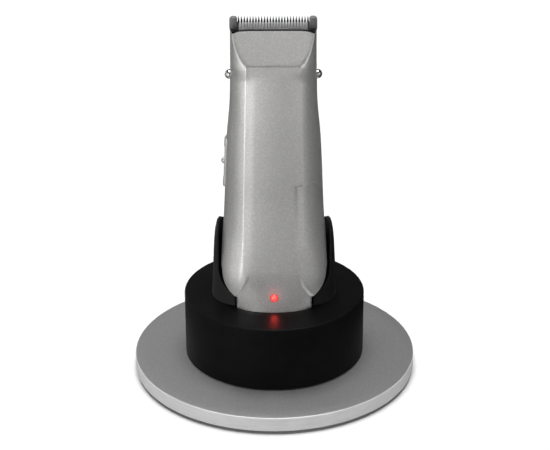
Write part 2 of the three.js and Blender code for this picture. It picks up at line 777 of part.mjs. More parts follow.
function makeFixedBlade() {
  const { halfWidth, lugWidth, bottom, toothTip, frontY, rearY } = fixedBlade;
  const comb = frontPrism(
    combShape(halfWidth - lugWidth, bottom, toothTip, fixedTeeth, 0.62),
    frontY,
    rearY,
  );
  let blade = comb.add(box([-halfWidth, halfWidth], [frontY, rearY], [bottom, toothTip - toothDepth]));
  for (const side of [-1, 1]) {
    blade = blade.add(frontPrism(lugShape(side), movingBlade.frontY, rearY));
    blade = blade.subtract(rod(1.3, [side * 9, -3, 136.5], 'y', 3, 12));
  }
  const headSection = loft([bodyRing(137, -wall - 0.4, 120), bodyRing(137, -wall - 0.4, 140.2)]);
  const lowerPart = box([-farAway, farAway], [-farAway, farAway], [120, 139.9]);
  return piece('fixed_blade', blade.subtract(lowerPart.subtract(headSection)), 'bladeSteel');
}

function makeMovingCutter() {
  const { halfWidth, bottom, toothTip, frontY, rearY } = movingBlade;
  let blade = frontPrism(combShape(halfWidth, bottom, toothTip, movingTeeth, 0.6), frontY, rearY);
  for (const side of [-1, 1]) {
    const wing = box([side * 6, side * 11.8].sort((a, b) => a - b), [frontY, rearY], [130.5, bottom + 0.5]);
    blade = blade.add(wing);
  }
  const fork = box([-4.6, 4.6], [-2.9, 0], [128.5, 133.3])
    .subtract(box([-forkSlot / 2, forkSlot / 2], [-5, 2], [120, 132.9]));
  const tab = box([-4, 4], [-2.9, -2.4], [133, 137]);
  return [piece('moving_blade', blade, 'bladeSteel'), piece('drive_fork', fork.add(tab), 'whitePlastic')];
}

function makeBladeHolder() {
  const fit = -wall - 0.4;
  const plug = loft([bodyRing(137, fit, 127.5), bodyRing(137, fit, 142)])
    .intersect(box([-farAway, farAway], [fixedBlade.rearY + gap, farAway], [127.5, 142]));
  const cap = loft([bodyRing(137, -0.2, 136), bodyRing(137, -0.2, 142)])
    .intersect(box([-farAway, farAway], [fixedBlade.rearY + gap, farAway], [136, 142]))
    .intersect(aboveRim(gap));
  const slopingBack = sidePrism(
    polygon([
      [0, 141.6],
      [20, 133.6],
      [20, 200],
      [0, 200],
    ]),
    -farAway,
    farAway,
  );
  let holder = plug.add(cap).subtract(slopingBack);
  for (const side of [-1, 1]) {
    holder = holder.subtract(rod(1.3, [side * 9, -3, 136.5], 'y', 20, 12));
    holder = holder.subtract(rod(2.1, [side * 9, 4.2, 136.5], 'y', 20, 16));
  }
  return piece('blade_holder', holder, 'blackPlastic');
}

function makeBladeScrews() {
  return [['left', -1], ['right', 1]].map(([name, side]) => {
    const head = rod(1.8, [side * 9, 3.2 + 1.3, 136.5], 'y', 5.4, 16);
    const shank = rod(1.0, [side * 9, -0.9, 136.5], 'y', 4.8, 12);
    return piece(`blade_screw_${name}`, head.add(shank), 'steel');
  });
}

// Flat spring that presses the moving blade against the fixed one, bowed round the fork. Drawn in XY.
function makeBladeSpring() {
  const outside = [
    [-13.0, 0.2],
    [-13.0, -2.7],
    [-8.0, -2.7],
    [-6.0, -3.5],
    [6.0, -3.5],
    [8.0, -2.7],
    [13.0, -2.7],
    [13.0, 0.2],
  ];
  const inside = [
    [12.7, 0.2],
    [12.7, -2.4],
    [7.9, -2.4],
    [5.9, -3.2],
    [-5.9, -3.2],
    [-7.9, -2.4],
    [-12.7, -2.4],
    [-12.7, 0.2],
  ];
  return piece('blade_spring', upright(polygon([...outside, ...inside]), 131, 132.5), 'steel');
}

// ---------------------------------------------------------------- assembly

const stand = new THREE.Group();
stand.add(makeBasePlate(), ...makeFeet(), ...makeDockScrews(), makeDrum(), makeJack());
stand.add(makeCradle(), makeCup(), ...makeDockElectrics());

const trimmer = new THREE.Group();
trimmer.add(...makeHousings(), ...makeHousingScrews(), ...makeContactsAndLight(), ...makeBattery());
trimmer.add(...makeSwitch(), ...makeMotor(), ...makeRotor(), ...makeCatches());

const bladeSet = new THREE.Group();
bladeSet.add(makeFixedBlade(), makeBladeHolder(), ...makeBladeScrews(), makeBladeSpring());
bladeSet.add(...makeMovingCutter());
trimmer.add(bladeSet);

const trimmerInStand = new THREE.Group();
trimmerInStand.add(stand, trimmer);

export default trimmerInStand;
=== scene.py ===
"""A silver cordless trimmer standing in its round charging stand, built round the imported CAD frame."""

import json
import math

import bmesh
import bpy
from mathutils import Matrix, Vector

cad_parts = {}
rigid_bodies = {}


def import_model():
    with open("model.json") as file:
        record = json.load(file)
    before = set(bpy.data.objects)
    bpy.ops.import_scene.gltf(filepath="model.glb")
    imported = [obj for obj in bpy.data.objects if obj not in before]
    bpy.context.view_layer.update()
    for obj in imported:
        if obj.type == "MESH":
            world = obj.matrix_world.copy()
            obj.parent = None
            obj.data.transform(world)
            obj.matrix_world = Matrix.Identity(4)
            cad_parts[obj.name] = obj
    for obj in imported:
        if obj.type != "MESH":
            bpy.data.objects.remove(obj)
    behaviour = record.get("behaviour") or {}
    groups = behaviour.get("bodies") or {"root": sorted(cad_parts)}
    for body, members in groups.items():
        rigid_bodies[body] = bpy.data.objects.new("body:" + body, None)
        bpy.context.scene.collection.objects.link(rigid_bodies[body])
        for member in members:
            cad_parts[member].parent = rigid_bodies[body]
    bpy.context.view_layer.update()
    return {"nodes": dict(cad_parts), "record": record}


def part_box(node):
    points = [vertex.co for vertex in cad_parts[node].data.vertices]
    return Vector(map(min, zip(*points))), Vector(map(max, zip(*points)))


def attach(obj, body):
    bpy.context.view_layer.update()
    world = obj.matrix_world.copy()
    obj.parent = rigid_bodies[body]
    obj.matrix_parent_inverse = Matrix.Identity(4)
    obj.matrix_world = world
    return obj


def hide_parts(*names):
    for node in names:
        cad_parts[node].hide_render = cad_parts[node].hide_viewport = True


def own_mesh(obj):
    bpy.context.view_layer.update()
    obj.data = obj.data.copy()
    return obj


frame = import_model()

MM = 0.001


def mm_box(node):
    """Lowest and highest corners of a CAD node, in millimetres."""
    low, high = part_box(node)
    return low / MM, high / MM


def middle_of(node):
    low, high = mm_box(node)
    return (low + high) / 2


# ------------------------------------------------------------------ sizes, in millimetres, from the frame

plate_low, plate_high = mm_box("base_plate")
drum_low, drum_high = mm_box("dock_housing")
cradle_high = mm_box("cradle")[1]
front_low, front_high = mm_box("front_housing")
rear_low = mm_box("rear_housing")[0]
lens_low, lens_high = mm_box("light_lens")
jack_low, jack_high = mm_box("power_jack")
switch_low, switch_high = mm_box("switch_plate")
nub_low, nub_high = mm_box("switch_button")
fixed_low, fixed_high = mm_box("fixed_blade")
moving_low, moving_high = mm_box("moving_blade")
holder_low = mm_box("blade_holder")[0]

PLATE_RADIUS = plate_high.x
DRUM_RADIUS = drum_high.x
DRUM_TOP = drum_high.z
DRUM_WALL = 2.5
BODY_BOTTOM = front_low.z
SPLIT_FRONT = front_high.y
SPLIT_REAR = rear_low.y
WALL = 1.6
CATCH_Z = middle_of("comb_catch_left").z
CATCH_RADIUS = 1.8
LIGHT_Z = middle_of("light_lens").z
LIGHT_RADIUS = 1.5
NUB_Z = middle_of("switch_button").z
NUB_RADIUS = 1.25
NUB_TRAVEL = 4.0
HOUSING_SCREWS = ("housing_screw_lower", "housing_screw_left", "housing_screw_right")
BLADE_SCREWS = ("blade_screw_left", "blade_screw_right")

# Trimmer body: the foot is narrow, then widens through round shoulders.
FOOT_HALF_WIDTH = 14.4
SHOULDER_HALF_WIDTH = 20.6
SHOULDER_BOTTOM = 37.6
SHOULDER_TOP = 47.0
SHOULDER_BEND = ((17.6, 39.6), (20.6, 42.5))
FRONT_FULLNESS = 2.35
REAR_FULLNESS = 2.4
RIM_START = 122.0
RIM_AT_AXIS = 138.55
RIM_TILT = 0.2262
SCOOP_BOTTOM_DEPTH = 13.0
SCOOP_BOTTOM_Z = 129.35
SCOOP_SLOPE = 0.714
PANEL_CROWN = 0.35
FACET_WIDTH = 3.3
FACET_SLOPE = 0.16
CREASE_DROP = PANEL_CROWN + FACET_SLOPE * FACET_WIDTH
PANEL_FLAT = (122.0, 128.5)
GRIP_DEPTH = 0.95
GRIP_UNDERCUT = 0.35
GRIP_BOTTOM = 58.0
GRIP_CREST = (14.0, 84.7)
TONGUE_DEPTH = 0.7
SCOOP_ROUNDING = 0.95
INNER_HEIGHTS = (130, 120, 105, 90, 75, 60, 45, 40, 36, 30, BODY_BOTTOM + WALL)
FOOT_ROUNDING = 0.8

# Height, half width, front depth, rear depth, strength of the front panel's creases.
BODY_STATIONS = [
    (24.0, 20.5, 20.4, 17.0, 0.0),
    (43.0, 20.5, 20.4, 17.0, 0.0),
    (54.0, 20.1, 20.0, 17.3, 0.45),
    (65.0, 19.2, 19.3, 17.5, 0.85),
    (77.0, 18.6, 18.5, 17.4, 1.0),
    (87.0, 18.2, 18.0, 17.0, 1.0),
    (99.0, 17.5, 17.2, 15.8, 1.0),
    (109.0, 16.5, 16.4, 14.5, 1.0),
    (118.0, 16.1, 15.2, 13.5, 1.0),
    (128.0, 15.9, 13.5, 11.5, 1.0),
    (137.0, 15.85, 12.0, 9.3, 1.0),
    (148.0, 15.8, 10.5, 6.8, 1.0),
]


# ------------------------------------------------------------------ small maths


def smooth_step(low, high, value):
    t = min(max((value - low) / (high - low), 0.0), 1.0)
    return t * t * (3 - 2 * t)


def soft_min(a, b, blend):
    """The smaller of two lengths, with the corner between them rounded."""
    h = min(max(0.5 + 0.5 * (b - a) / blend, 0.0), 1.0)
    return b + (a - b) * h - blend * h * (1 - h)


def station_at(z):
    """Half width, front depth, rear depth and crease strength at a height, as a smooth curve."""
    last = len(BODY_STATIONS) - 2
    i = 0
    while i < last and BODY_STATIONS[i + 1][0] < z:
        i += 1
    a, b = BODY_STATIONS[i], BODY_STATIONS[i + 1]
    before = BODY_STATIONS[max(i - 1, 0)]
    after = BODY_STATIONS[min(i + 2, last + 1)]
    span = b[0] - a[0]
    t = (z - a[0]) / span
    values = []
    for k in range(1, 5):
        slope_a = (b[k] - before[k]) / (b[0] - before[0]) if i > 0 else 0.0
        slope_b = (after[k] - a[k]) / (after[0] - a[0]) if i < last else (b[k] - a[k]) / span
        h00 = 2 * t**3 - 3 * t**2 + 1
        h10 = t**3 - 2 * t**2 + t
        h01 = -2 * t**3 + 3 * t**2
        h11 = t**3 - t**2
        values.append(h00 * a[k] + h10 * span * slope_a + h01 * b[k] + h11 * span * slope_b)
    half_width, front, rear, crease = values
    return half_width, front, rear, min(max(crease, 0.0), 1.0)


def crease_half_width(z):
    """Half width of the front panel between its two long creases."""
    return 11.2 - 0.024 * (z - 80)


def soft_ramp(value, blend):
    """Zero below nought and the value above it, with the bend rounded."""
    if value <= -blend:
        return 0.0
    if value >= blend:
        return value
    return (value + blend) ** 2 / (4 * blend)


def front_depth(x, z, station):
    """How far the front surface lies ahead of the axis: panel, narrow facets, then round flanks."""
    half_width, front, _, crease = station
    side = min(abs(x) / half_width, 1.0)
    fullness = FRONT_FULLNESS + 2.0 * smooth_step(30, 50, z)
    round_depth = front * (1 - side**fullness) ** (1 / fullness)
    if crease <= 0:
        return round_depth
    edge = crease_half_width(z)
    panel_edge = edge - FACET_WIDTH
    flat = smooth_step(*PANEL_FLAT, z)
    if abs(x) <= edge:
        crown = PANEL_CROWN * (min(abs(x), panel_edge) / panel_edge) ** 2
        drop = crown + FACET_SLOPE * soft_ramp(abs(x) - panel_edge, 0.5)
        creased = front - drop * (1 - flat)
    else:
        t = min((abs(x) - edge) / (half_width - edge), 1.0)
        power = 2.2 + 0.9 * flat
        fall = math.sqrt(max(0.0, 1 - 0.38 * t - 0.62 * t**power))
        creased = (front - CREASE_DROP * (1 - flat)) * fall
    return round_depth + (creased - round_depth) * crease


def shoulder_half_width(z):
    """Half width that the rounded shoulders leave at a height."""
    if z <= SHOULDER_BOTTOM:
        return FOOT_HALF_WIDTH
    if z >= SHOULDER_TOP:
        return math.inf
    low, high = 0.0, 1.0
    for _ in range(24):
        t = (low + high) / 2
        height = bezier(t, SHOULDER_BOTTOM, SHOULDER_BEND[0][1], SHOULDER_BEND[1][1], SHOULDER_TOP)
        if height < z:
            low = t
        else:
            high = t
    return bezier(t, FOOT_HALF_WIDTH, SHOULDER_BEND[0][0], SHOULDER_BEND[1][0], SHOULDER_HALF_WIDTH)


def bezier(t, a, b, c, d):
    s = 1 - t
    return s * s * s * a + 3 * s * s * t * b + 3 * s * t * t * c + t * t * t * d


def tongue_drop(x, z):
    """The foot's front tongue lies a little below the lobes beside it, along two slanting creases."""
    if z > 54:
        return 0.0
    crease_x = 15.6 - 0.6 * (z - 37) + 0.3 * max(z - 43.5, 0)
    fade = 1 - smooth_step(41, 50, z)
    width = 0.3 + 0.12 * max(z - 39, 0)
    inside = 1 - smooth_step(crease_x - width, crease_x, abs(x))
    return TONGUE_DEPTH * fade * inside


def grip_top(x):
    """Height of the grip's top edge: an arch that falls steeply round the flank."""
    crest_x, crest_z = GRIP_CREST
    if x < crest_x:
        return crest_z - 0.9 * (1 - math.sin(max(x - 8, 0) / (crest_x - 8) * math.pi / 2))
    return crest_z - 5.2 * ((x - crest_x) / 3.6) ** 2


def grip_drop(x, y, z):
    """Finger grip on the right: a step with a slight undercut at its top that runs out lower down."""
    if z > GRIP_CREST[1] + 1.3 or z < GRIP_BOTTOM or x < 6.5:
        return 0.0
    top = grip_top(x)
    below = smooth_step(0.0, 0.45, top - z)
    undercut = GRIP_UNDERCUT * (1 - smooth_step(0.5, 1.3, top - z)) * (1 - smooth_step(12.5, 14.5, x))
    flank = 1 - 0.65 * smooth_step(13.5, 17.0, x)
    ramp = max(0.0, (z - GRIP_BOTTOM) / (top - GRIP_BOTTOM)) ** 1.3
    inner = smooth_step(7.2, 9.6, x)
    outer = smooth_step(1.5, 6.0, -y)
    return (GRIP_DEPTH + undercut) * below * ramp * inner * outer * flank


def scoop_depth(z):
    """Depth of the sloping scoop below the blade, ahead of the axis."""
    return SCOOP_BOTTOM_DEPTH - SCOOP_SLOPE * (z - SCOOP_BOTTOM_Z)


# ------------------------------------------------------------------ making meshes


def add_object(name, data):
    obj = bpy.data.objects.new(name, data)
    bpy.context.scene.collection.objects.link(obj)
    return obj


def make_object(name, vertices, faces, smooth_angle=35):
    """A mesh object from points in millimetres."""
    mesh = bpy.data.meshes.new(name)
    mesh.from_pydata([(x * MM, y * MM, z * MM) for x, y, z in vertices], [], faces)
    mesh.validate()
    obj = add_object(name, mesh)
    tidy_normals(obj, smooth_angle)
    return obj


def tidy_normals(obj, smooth_angle=35):
    """Merges doubled points, turns the faces outward and keeps edges over an angle sharp."""
    work = bmesh.new()
    work.from_mesh(obj.data)
    bmesh.ops.remove_doubles(work, verts=work.verts, dist=1e-7)
    bmesh.ops.recalc_face_normals(work, faces=work.faces)
    work.to_mesh(obj.data)
    work.free()
    obj.data.shade_smooth()
    obj.data.set_sharp_from_angle(angle=math.radians(smooth_angle))


def around(sides):
    """Equally spaced angles round a circle."""
    return [2 * math.pi * i / sides for i in range(sides)]


def grid_faces(rows, columns, closed):
    """Quads over rows of points; closed joins the last column to the first."""
    faces = []
    for r in range(rows - 1):
        for c in range(columns if closed else columns - 1):
            a = r * columns + c
            b = r * columns + (c + 1) % columns
            faces.append((a, b, b + columns, a + columns))
    return faces


def capped_faces(rows, columns, closed=True):
    """Grid faces and a face over each end row. An open grid also gets a face across its gap."""
    faces = grid_faces(rows, columns, closed)
    last = (rows - 1) * columns
    faces.append(tuple(range(columns)))
    faces.append(tuple(range(last, last + columns)))
    if not closed:
        starts = [row * columns for row in range(rows)]
        ends = [start + columns - 1 for start in starts]
        faces.append(tuple(starts + ends[::-1]))
    return faces


def spun(name, axis, centre, profile, sides=48, smooth_angle=40):
    """A solid of revolution from [radius, place along the axis] points, round a line through a centre."""
    a, b, c = centre
    place = {
        "x": lambda u, v, along: (along, b + u, c + v),
        "y": lambda u, v, along: (a + u, along, c + v),
        "z": lambda u, v, along: (a + u, b + v, along),
    }[axis]
    vertices = []
    for radius, along in profile:
        for angle in around(sides):
            vertices.append(place(radius * math.cos(angle), radius * math.sin(angle), along))
    return make_object(name, vertices, capped_faces(len(profile), sides), smooth_angle)


def arc(centre, radius, start, end, steps=8):
    """Points along an arc in a plane, angles in degrees."""
    points = []
    for i in range(steps + 1):
        angle = math.radians(start + (end - start) * i / steps)
        points.append((centre[0] + radius * math.cos(angle), centre[1] + radius * math.sin(angle)))
    return points


def cylinder(name, radius, start, end):
    """A capped cylinder between two points, in millimetres. It serves as a cutting tool."""
    sides = 48
    start, end = Vector(start), Vector(end)
    axis = (end - start).normalized()
    across = axis.orthogonal().normalized()
    other = axis.cross(across)
    vertices = []
    for centre in (start, end):
        for angle in around(sides):
            vertices.append(tuple(centre + radius * (math.cos(angle) * across + math.sin(angle) * other)))
    return make_object(name, vertices, capped_faces(2, sides))


def block(name, low, high):
    """A box between two corners, in millimetres."""
    xs, ys, zs = zip(low, high)
    vertices = [(x, y, z) for z in zs for y in ys for x in xs]
    faces = [(0, 2, 3, 1), (4, 5, 7, 6), (0, 1, 5, 4), (2, 6, 7, 3), (0, 4, 6, 2), (1, 3, 7, 5)]
    return make_object(name, vertices, faces)


def prism(name, outline, axis, low, high):
    """An outline run along an axis. It is drawn in XZ for 'y', YZ for 'x' and XY for 'z'."""
    place = {
        "x": lambda p, depth: (depth, p[0], p[1]),
        "y": lambda p, depth: (p[0], depth, p[1]),
        "z": lambda p, depth: (p[0], p[1], depth),
    }[axis]
    vertices = [place(point, depth) for depth in (low, high) for point in outline]
    return make_object(name, vertices, capped_faces(2, len(outline)))


def apply_modifiers(obj, smooth_angle=35):
    """Turns an object with its modifiers into a plain mesh."""
    graph = bpy.context.evaluated_depsgraph_get()
    mesh = bpy.data.meshes.new_from_object(obj.evaluated_get(graph))
    obj.modifiers.clear()
    obj.data = mesh
    tidy_normals(obj, smooth_angle)


def cut_out(obj, tools, smooth_angle=35):
    """Cuts the tools out of the object, and removes the tools."""
    for tool in tools:
        modifier = obj.modifiers.new("cut", "BOOLEAN")
        modifier.operation = "DIFFERENCE"
        modifier.solver = "EXACT"
        modifier.object = tool
    apply_modifiers(obj, smooth_angle)
    for tool in tools:
        bpy.data.objects.remove(tool)


def add_bevel(obj, width, angle, segments):
    modifier = obj.modifiers.new("soft_edges", "BEVEL")
    modifier.width = width * MM
    modifier.segments = segments
    modifier.limit_method = "ANGLE"
    modifier.angle_limit = math.radians(angle)
    return modifier


def soften_edges(obj, width):
    """Rounds the sharp edges of a piece for good."""
    add_bevel(obj, width, 40, 3)
    apply_modifiers(obj)


# ------------------------------------------------------------------ materials


class Finish:
    """A material with short ways to add and join its nodes."""

    def __init__(self, name):
        self.material = bpy.data.materials.new(name)
        self.material.use_nodes = True
        self.tree = self.material.node_tree
        self.shader = self.tree.nodes["Principled BSDF"]
        self.place = self.add("ShaderNodeTexCoord").outputs["Object"]

    def add(self, kind, **settings):
        node = self.tree.nodes.new(kind)
        for key, value in settings.items():
            setattr(node, key, value)
        return node

    def join(self, source, target):
        self.tree.links.new(source, target)

    def set(self, **values):
        for key, value in values.items():
            socket = key.replace("_", " ").title().replace("Ior", "IOR")
            self.shader.inputs[socket].default_value = value

    def noise(self, scale, detail=2.0, stretch=None):
        node = self.add("ShaderNodeTexNoise")
        node.inputs["Scale"].default_value = scale
        node.inputs["Detail"].default_value = detail
        self.join(self.stretched(stretch), node.inputs["Vector"])
        return node.outputs["Fac"]

    def stretched(self, stretch):
        if stretch is None:
            return self.place
        mapping = self.add("ShaderNodeMapping")
        mapping.inputs["Scale"].default_value = stretch
        self.join(self.place, mapping.inputs["Vector"])
        return mapping.outputs["Vector"]

    def flecks(self, scale):
        """A random value for each small cell, as in metal flake."""
        node = self.add("ShaderNodeTexVoronoi")
        node.inputs["Scale"].default_value = scale
        self.join(self.place, node.inputs["Vector"])
        channels = self.add("ShaderNodeSeparateColor")
        self.join(node.outputs["Color"], channels.inputs["Color"])
        return channels.outputs["Red"]

    def ramp(self, factor, stops):
        node = self.add("ShaderNodeValToRGB")
        points = node.color_ramp.elements
        while len(points) < len(stops):
            points.new(0.5)
        for point, (position, colour) in zip(points, stops):
            point.position = position
            point.color = (*colour, 1)
        self.join(factor, node.inputs["Fac"])
        return node.outputs["Color"]

    def colour(self, factor, stops, socket="Base Color"):
        self.join(self.ramp(factor, stops), self.shader.inputs[socket])

    def roughness(self, factor, low, high):
        node = self.add("ShaderNodeMapRange")
        node.inputs["To Min"].default_value = low
        node.inputs["To Max"].default_value = high
        self.join(factor, node.inputs["Value"])
        self.join(node.outputs["Result"], self.shader.inputs["Roughness"])

    def bump(self, height, strength, distance):
        node = self.add("ShaderNodeBump")
        node.inputs["Strength"].default_value = strength
        node.inputs["Distance"].default_value = distance * MM
        self.join(height, node.inputs["Height"])
        self.join(node.outputs["Normal"], self.shader.inputs["Normal"])


def grey(value):
    return (value, value, value)


def silver_paint():
    """Metallic lacquer: fine flakes of slightly different greys under a thin coat."""
    finish = Finish("silver_paint")
    finish.set(metallic=0.72, coat_weight=0.1, coat_roughness=0.2)
    flake = [(0.0, (0.6, 0.595, 0.585)), (0.7, (0.65, 0.645, 0.635)), (1.0, (0.74, 0.735, 0.725))]
    finish.colour(finish.flecks(2600), flake)
    finish.roughness(finish.noise(1800, 2), 0.27, 0.32)
    finish.bump(finish.noise(3600, 2), 0.14, 0.02)
    return finish.material


def plate_metal():
    finish = Finish("plate_metal")
    finish.set(metallic=0.85)
    finish.colour(finish.flecks(2600), [(0.0, grey(0.42)), (0.7, grey(0.45)), (1.0, grey(0.5))])
    finish.roughness(finish.noise(1500, 2), 0.4, 0.47)
    finish.bump(finish.noise(3000, 2), 0.16, 0.02)
    return finish.material


def rim_metal_painted_light():
    """The plate's edge: a paler, less metallic copy of the plate's metal, finely brushed round its
    circumference; the paler colour is painted light on the edge that faces the lamps.
    """
    finish = Finish("rim_metal_painted_light")
    finish.set(metallic=0.1)
    brushed = finish.noise(900, 2, (0.15, 0.15, 1))
    finish.colour(brushed, [(0.3, grey(0.6)), (0.7, grey(0.66))])
    finish.roughness(brushed, 0.45, 0.55)
    finish.bump(brushed, 0.1, 0.02)
    return finish.material


def black_plastic(name, ior, darkest, palest):
    """Moulded black plastic with a fine grain. A higher IOR gives it more sheen."""
    finish = Finish(name)
    finish.set(ior=ior)
    finish.colour(finish.noise(160, 4), [(0.3, grey(darkest)), (0.7, grey(palest))])
    finish.roughness(finish.noise(1400, 3), 0.42, 0.5)
    finish.bump(finish.noise(5200, 2), 0.12, 0.02)
    return finish.material


def plain_metal(name, colour, roughness, stretch=(1, 1, 1), metallic=1.0):
    finish = Finish(name)
    finish.set(metallic=metallic)
    grain = finish.noise(1500, 3, stretch)
    finish.colour(grain, [(0.3, tuple(c * 0.85 for c in colour)), (0.7, colour)])
    finish.roughness(grain, roughness * 0.8, roughness * 1.2)
    finish.bump(grain, 0.2, 0.01)
    return finish.material


def plain_plastic(name, colour, roughness):
    finish = Finish(name)
    mottle = finish.noise(240, 4)
    finish.colour(mottle, [(0.3, tuple(c * 0.88 for c in colour)), (0.7, colour)])
    finish.roughness(mottle, roughness * 0.9, roughness * 1.1)
    finish.bump(finish.noise(3000, 2), 0.2, 0.02)
    return finish.material


def red_lens():
    """A lit red lens: palest where it faces the eye, deep red round its edge."""
    finish = Finish("red_lens")
    finish.set(base_color=(0.8, 0.03, 0.02, 1), roughness=0.12, coat_weight=1.0, emission_strength=1.0)
    facing = finish.add("ShaderNodeLayerWeight")
    facing.inputs["Blend"].default_value = 0.5
    stops = [
        (0.0, (1.0, 0.2, 0.17)),
        (0.12, (0.95, 0.07, 0.06)),
        (0.5, (0.75, 0.035, 0.035)),
        (1.0, (0.4, 0.01, 0.01)),
    ]
    finish.colour(facing.outputs["Facing"], stops, "Emission Color")
    finish.bump(finish.noise(700, 2), 0.05, 0.02)
    return finish.material


def make_materials():
    return {
        "silver_paint": silver_paint(),
        "plate_metal": plate_metal(),
        "black_plastic": black_plastic("black_plastic", 1.16, 0.003, 0.0045),
        "foot_rubber": plain_plastic("foot_rubber", grey(0.02), 0.85),
        "steel": plain_metal("steel", grey(0.5), 0.32, (1, 1, 0.05)),
        "blade_steel": plain_metal("blade_steel", grey(0.86), 0.5, (1, 1, 0.08), 0.7),
        "bright_stud": plain_metal("bright_stud", grey(0.72), 0.14),
        "contact_gold": plain_metal("contact_gold", (0.72, 0.5, 0.2), 0.25),
        "white_plastic": plain_plastic("white_plastic", (0.72, 0.71, 0.68), 0.45),
        "board_green": plain_plastic("board_green", (0.03, 0.16, 0.07), 0.4),
        "cell_wrap": plain_plastic("cell_wrap", (0.04, 0.12, 0.3), 0.35),
        "red_lens": red_lens(),
    }


materials = make_materials()
# A shinier, slightly paler copy of the black plastic for the cradle: the paler colour is painted light on
# the cradle's lit edges.
satin_black_painted_lighter = black_plastic("satin_black_painted_lighter", 1.34, 0.004, 0.006)
# A near-black copy of the blade steel for the comb blade's teeth: painted shade, as the teeth lie in
# shadow.
tooth_steel_painted_shade = plain_metal("tooth_steel_painted_shade", grey(0.06), 0.45, (1, 1, 0.08))
lug_steel = plain_metal("lug_steel", grey(0.34), 0.6)


def finish_piece(obj, body, slot, *nodes):
    """Gives a piece its material, its body and the CAD nodes that it stands for."""
    obj.data.materials.clear()
    obj.data.materials.append(materials[slot])
    if nodes:
        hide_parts(*nodes)
    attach(obj, body)
    return obj


# ------------------------------------------------------------------ trimmer housings


def shaped_radius(x, y, z):
    """Pulls a point of the plain body in to the foot's sides, the scoop, the tongue and the grip."""
    radius = math.hypot(x, y)
    sine, cosine = x / radius, -y / radius
    radius -= tongue_drop(x, z) + grip_drop(x, y, z)
    limit = shoulder_half_width(z)
    if limit < math.inf and abs(sine) > 0.05:
        radius = soft_min(radius, limit / abs(sine), 1.6)
    if z > SCOOP_BOTTOM_Z - 4 and cosine > 0.05:
        rounding = 0.2 + (SCOOP_ROUNDING - 0.2) * smooth_step(8.5, 11.0, abs(x))
        radius = soft_min(radius, scoop_depth(z) / cosine, rounding)
    return radius * sine, -radius * cosine


def front_outline(z):
    """Points of the front half at a height, from the left seam round to the right seam."""
    station = station_at(z)
    half_width = station[0]
    edge_angle = math.asin(min(crease_half_width(z) / half_width, 0.95))
    angles = []
    flank_steps, panel_steps = 44, 64
    for i in range(flank_steps):
        t = i / flank_steps
        angles.append(-math.pi / 2 + (math.pi / 2 - edge_angle) * t)
    for i in range(panel_steps + 1):
        angles.append(-edge_angle + 2 * edge_angle * i / panel_steps)
    angles += [-a for a in reversed(angles[:flank_steps])]
    points = []
    for angle in angles:
        x = half_width * math.sin(angle)
        points.append(shaped_radius(x, -max(front_depth(x, z, station), 1e-4), z))
    left = (points[0][0], SPLIT_FRONT)
    right = (points[-1][0], SPLIT_FRONT)
    return [left, *points, right]


def rear_outline(z):
    """Points of the rear half at a height, from the right seam round to the left seam."""
    half_width, _, rear, _ = station_at(z)
    steps = 72
    points = []
    for i in range(steps + 1):
        angle = math.pi * i / steps
        across, along = math.cos(angle), math.sin(angle)
        x = half_width * math.copysign(abs(across) ** (2 / REAR_FULLNESS), across)
        y = max(rear * max(along, 0.0) ** (2 / REAR_FULLNESS), 1e-4)
        points.append(shaped_radius(x, y, z))
    left_x, right_x = points[-1][0], points[0][0]
    inner = [(x, max(y, SPLIT_REAR + 0.3)) for x, y in points[1:-1]]
    return [(right_x, SPLIT_REAR), *inner, (left_x, SPLIT_REAR)]


def body_heights():
    """Row heights: close together where the surface turns quickly."""
    bands = [
        (BODY_BOTTOM, 34.0, 12),
        (34.0, 49.0, 52),
        (49.0, 58.0, 16),
        (58.0, 74.5, 19),
        (74.5, 85.5, 88),
        (85.5, 124.0, 46),
        (124.0, 131.0, 28),
        (131.0, RIM_AT_AXIS, 24),
    ]
    heights = []
    for low, high, count in bands:
        heights += [low + (high - low) * i / count for i in range(count)]
    return [*heights, RIM_AT_AXIS]


def rim_height(x, y):
    """Height of the housing's top edge. It slopes to the front and drops at the front corners."""
    side = abs(x)
    front_drop = 0.95 * min(side / 14.6, 1) ** 8 * (1 - smooth_step(14.7, 15.3, side))
    return RIM_AT_AXIS - RIM_TILT * y - front_drop * smooth_step(0.5, 3.5, -y)


def leaned(outline_at, z, index):
    """One column's point at a nominal height, with the top rows leaning to the sloping rim."""
    if z <= RIM_START:
        return (*outline_at(z)[index], z)
    x, y = outline_at(RIM_AT_AXIS)[index]
    share = (z - RIM_START) / (RIM_AT_AXIS - RIM_START)
    top = rim_height(x, y)
    for _ in range(3):
        x, y = outline_at(top)[index]
        top = rim_height(x, y)
    height = RIM_START + share * (top - RIM_START)
    x, y = outline_at(height)[index]
    return (x, y, height)


def shell(name, outline):
    """Half of the housing as a closed shell: outside, rim, inside, floor and seam face."""
    cache = {}

    def outline_at(z):
        key = round(z, 3)
        if key not in cache:
            cache[key] = outline(key)
        return cache[key]

    heights = body_heights()
    count = len(outline_at(heights[0]))
    rows = [[leaned(outline_at, z, i) for i in range(count)] for z in heights]
    base = rows[0]
    rows[0] = [(x, y, z + FOOT_ROUNDING) for x, y, z in base]
    for step in (45, 90):
        inset = FOOT_ROUNDING * (1 - math.cos(math.radians(step)))
        drop = FOOT_ROUNDING * (1 - math.sin(math.radians(step)))
        rows.insert(0, [inwards(base, i, inset, drop) for i in range(count)])
    rows = [row for k, row in enumerate(rows) if k < 3 or row[0][2] > BODY_BOTTOM + FOOT_ROUNDING + 0.05]
    top = rows[-1]
    for inset, rise in ((WALL / 2, 0.0), (WALL - 0.1, 0.0), (WALL, -0.1), (WALL, -3.0)):
        rows.append([inwards(top, i, inset, rise) for i in range(count)])
    for z in INNER_HEIGHTS:
        plain = [(*outline_at(z)[i], z) for i in range(count)]
        rows.append([inwards(plain, i, WALL, 0.0) for i in range(count)])
    vertices = [point for row in rows for point in row]
    return make_object(name, vertices, capped_faces(len(rows), count, False), 40)


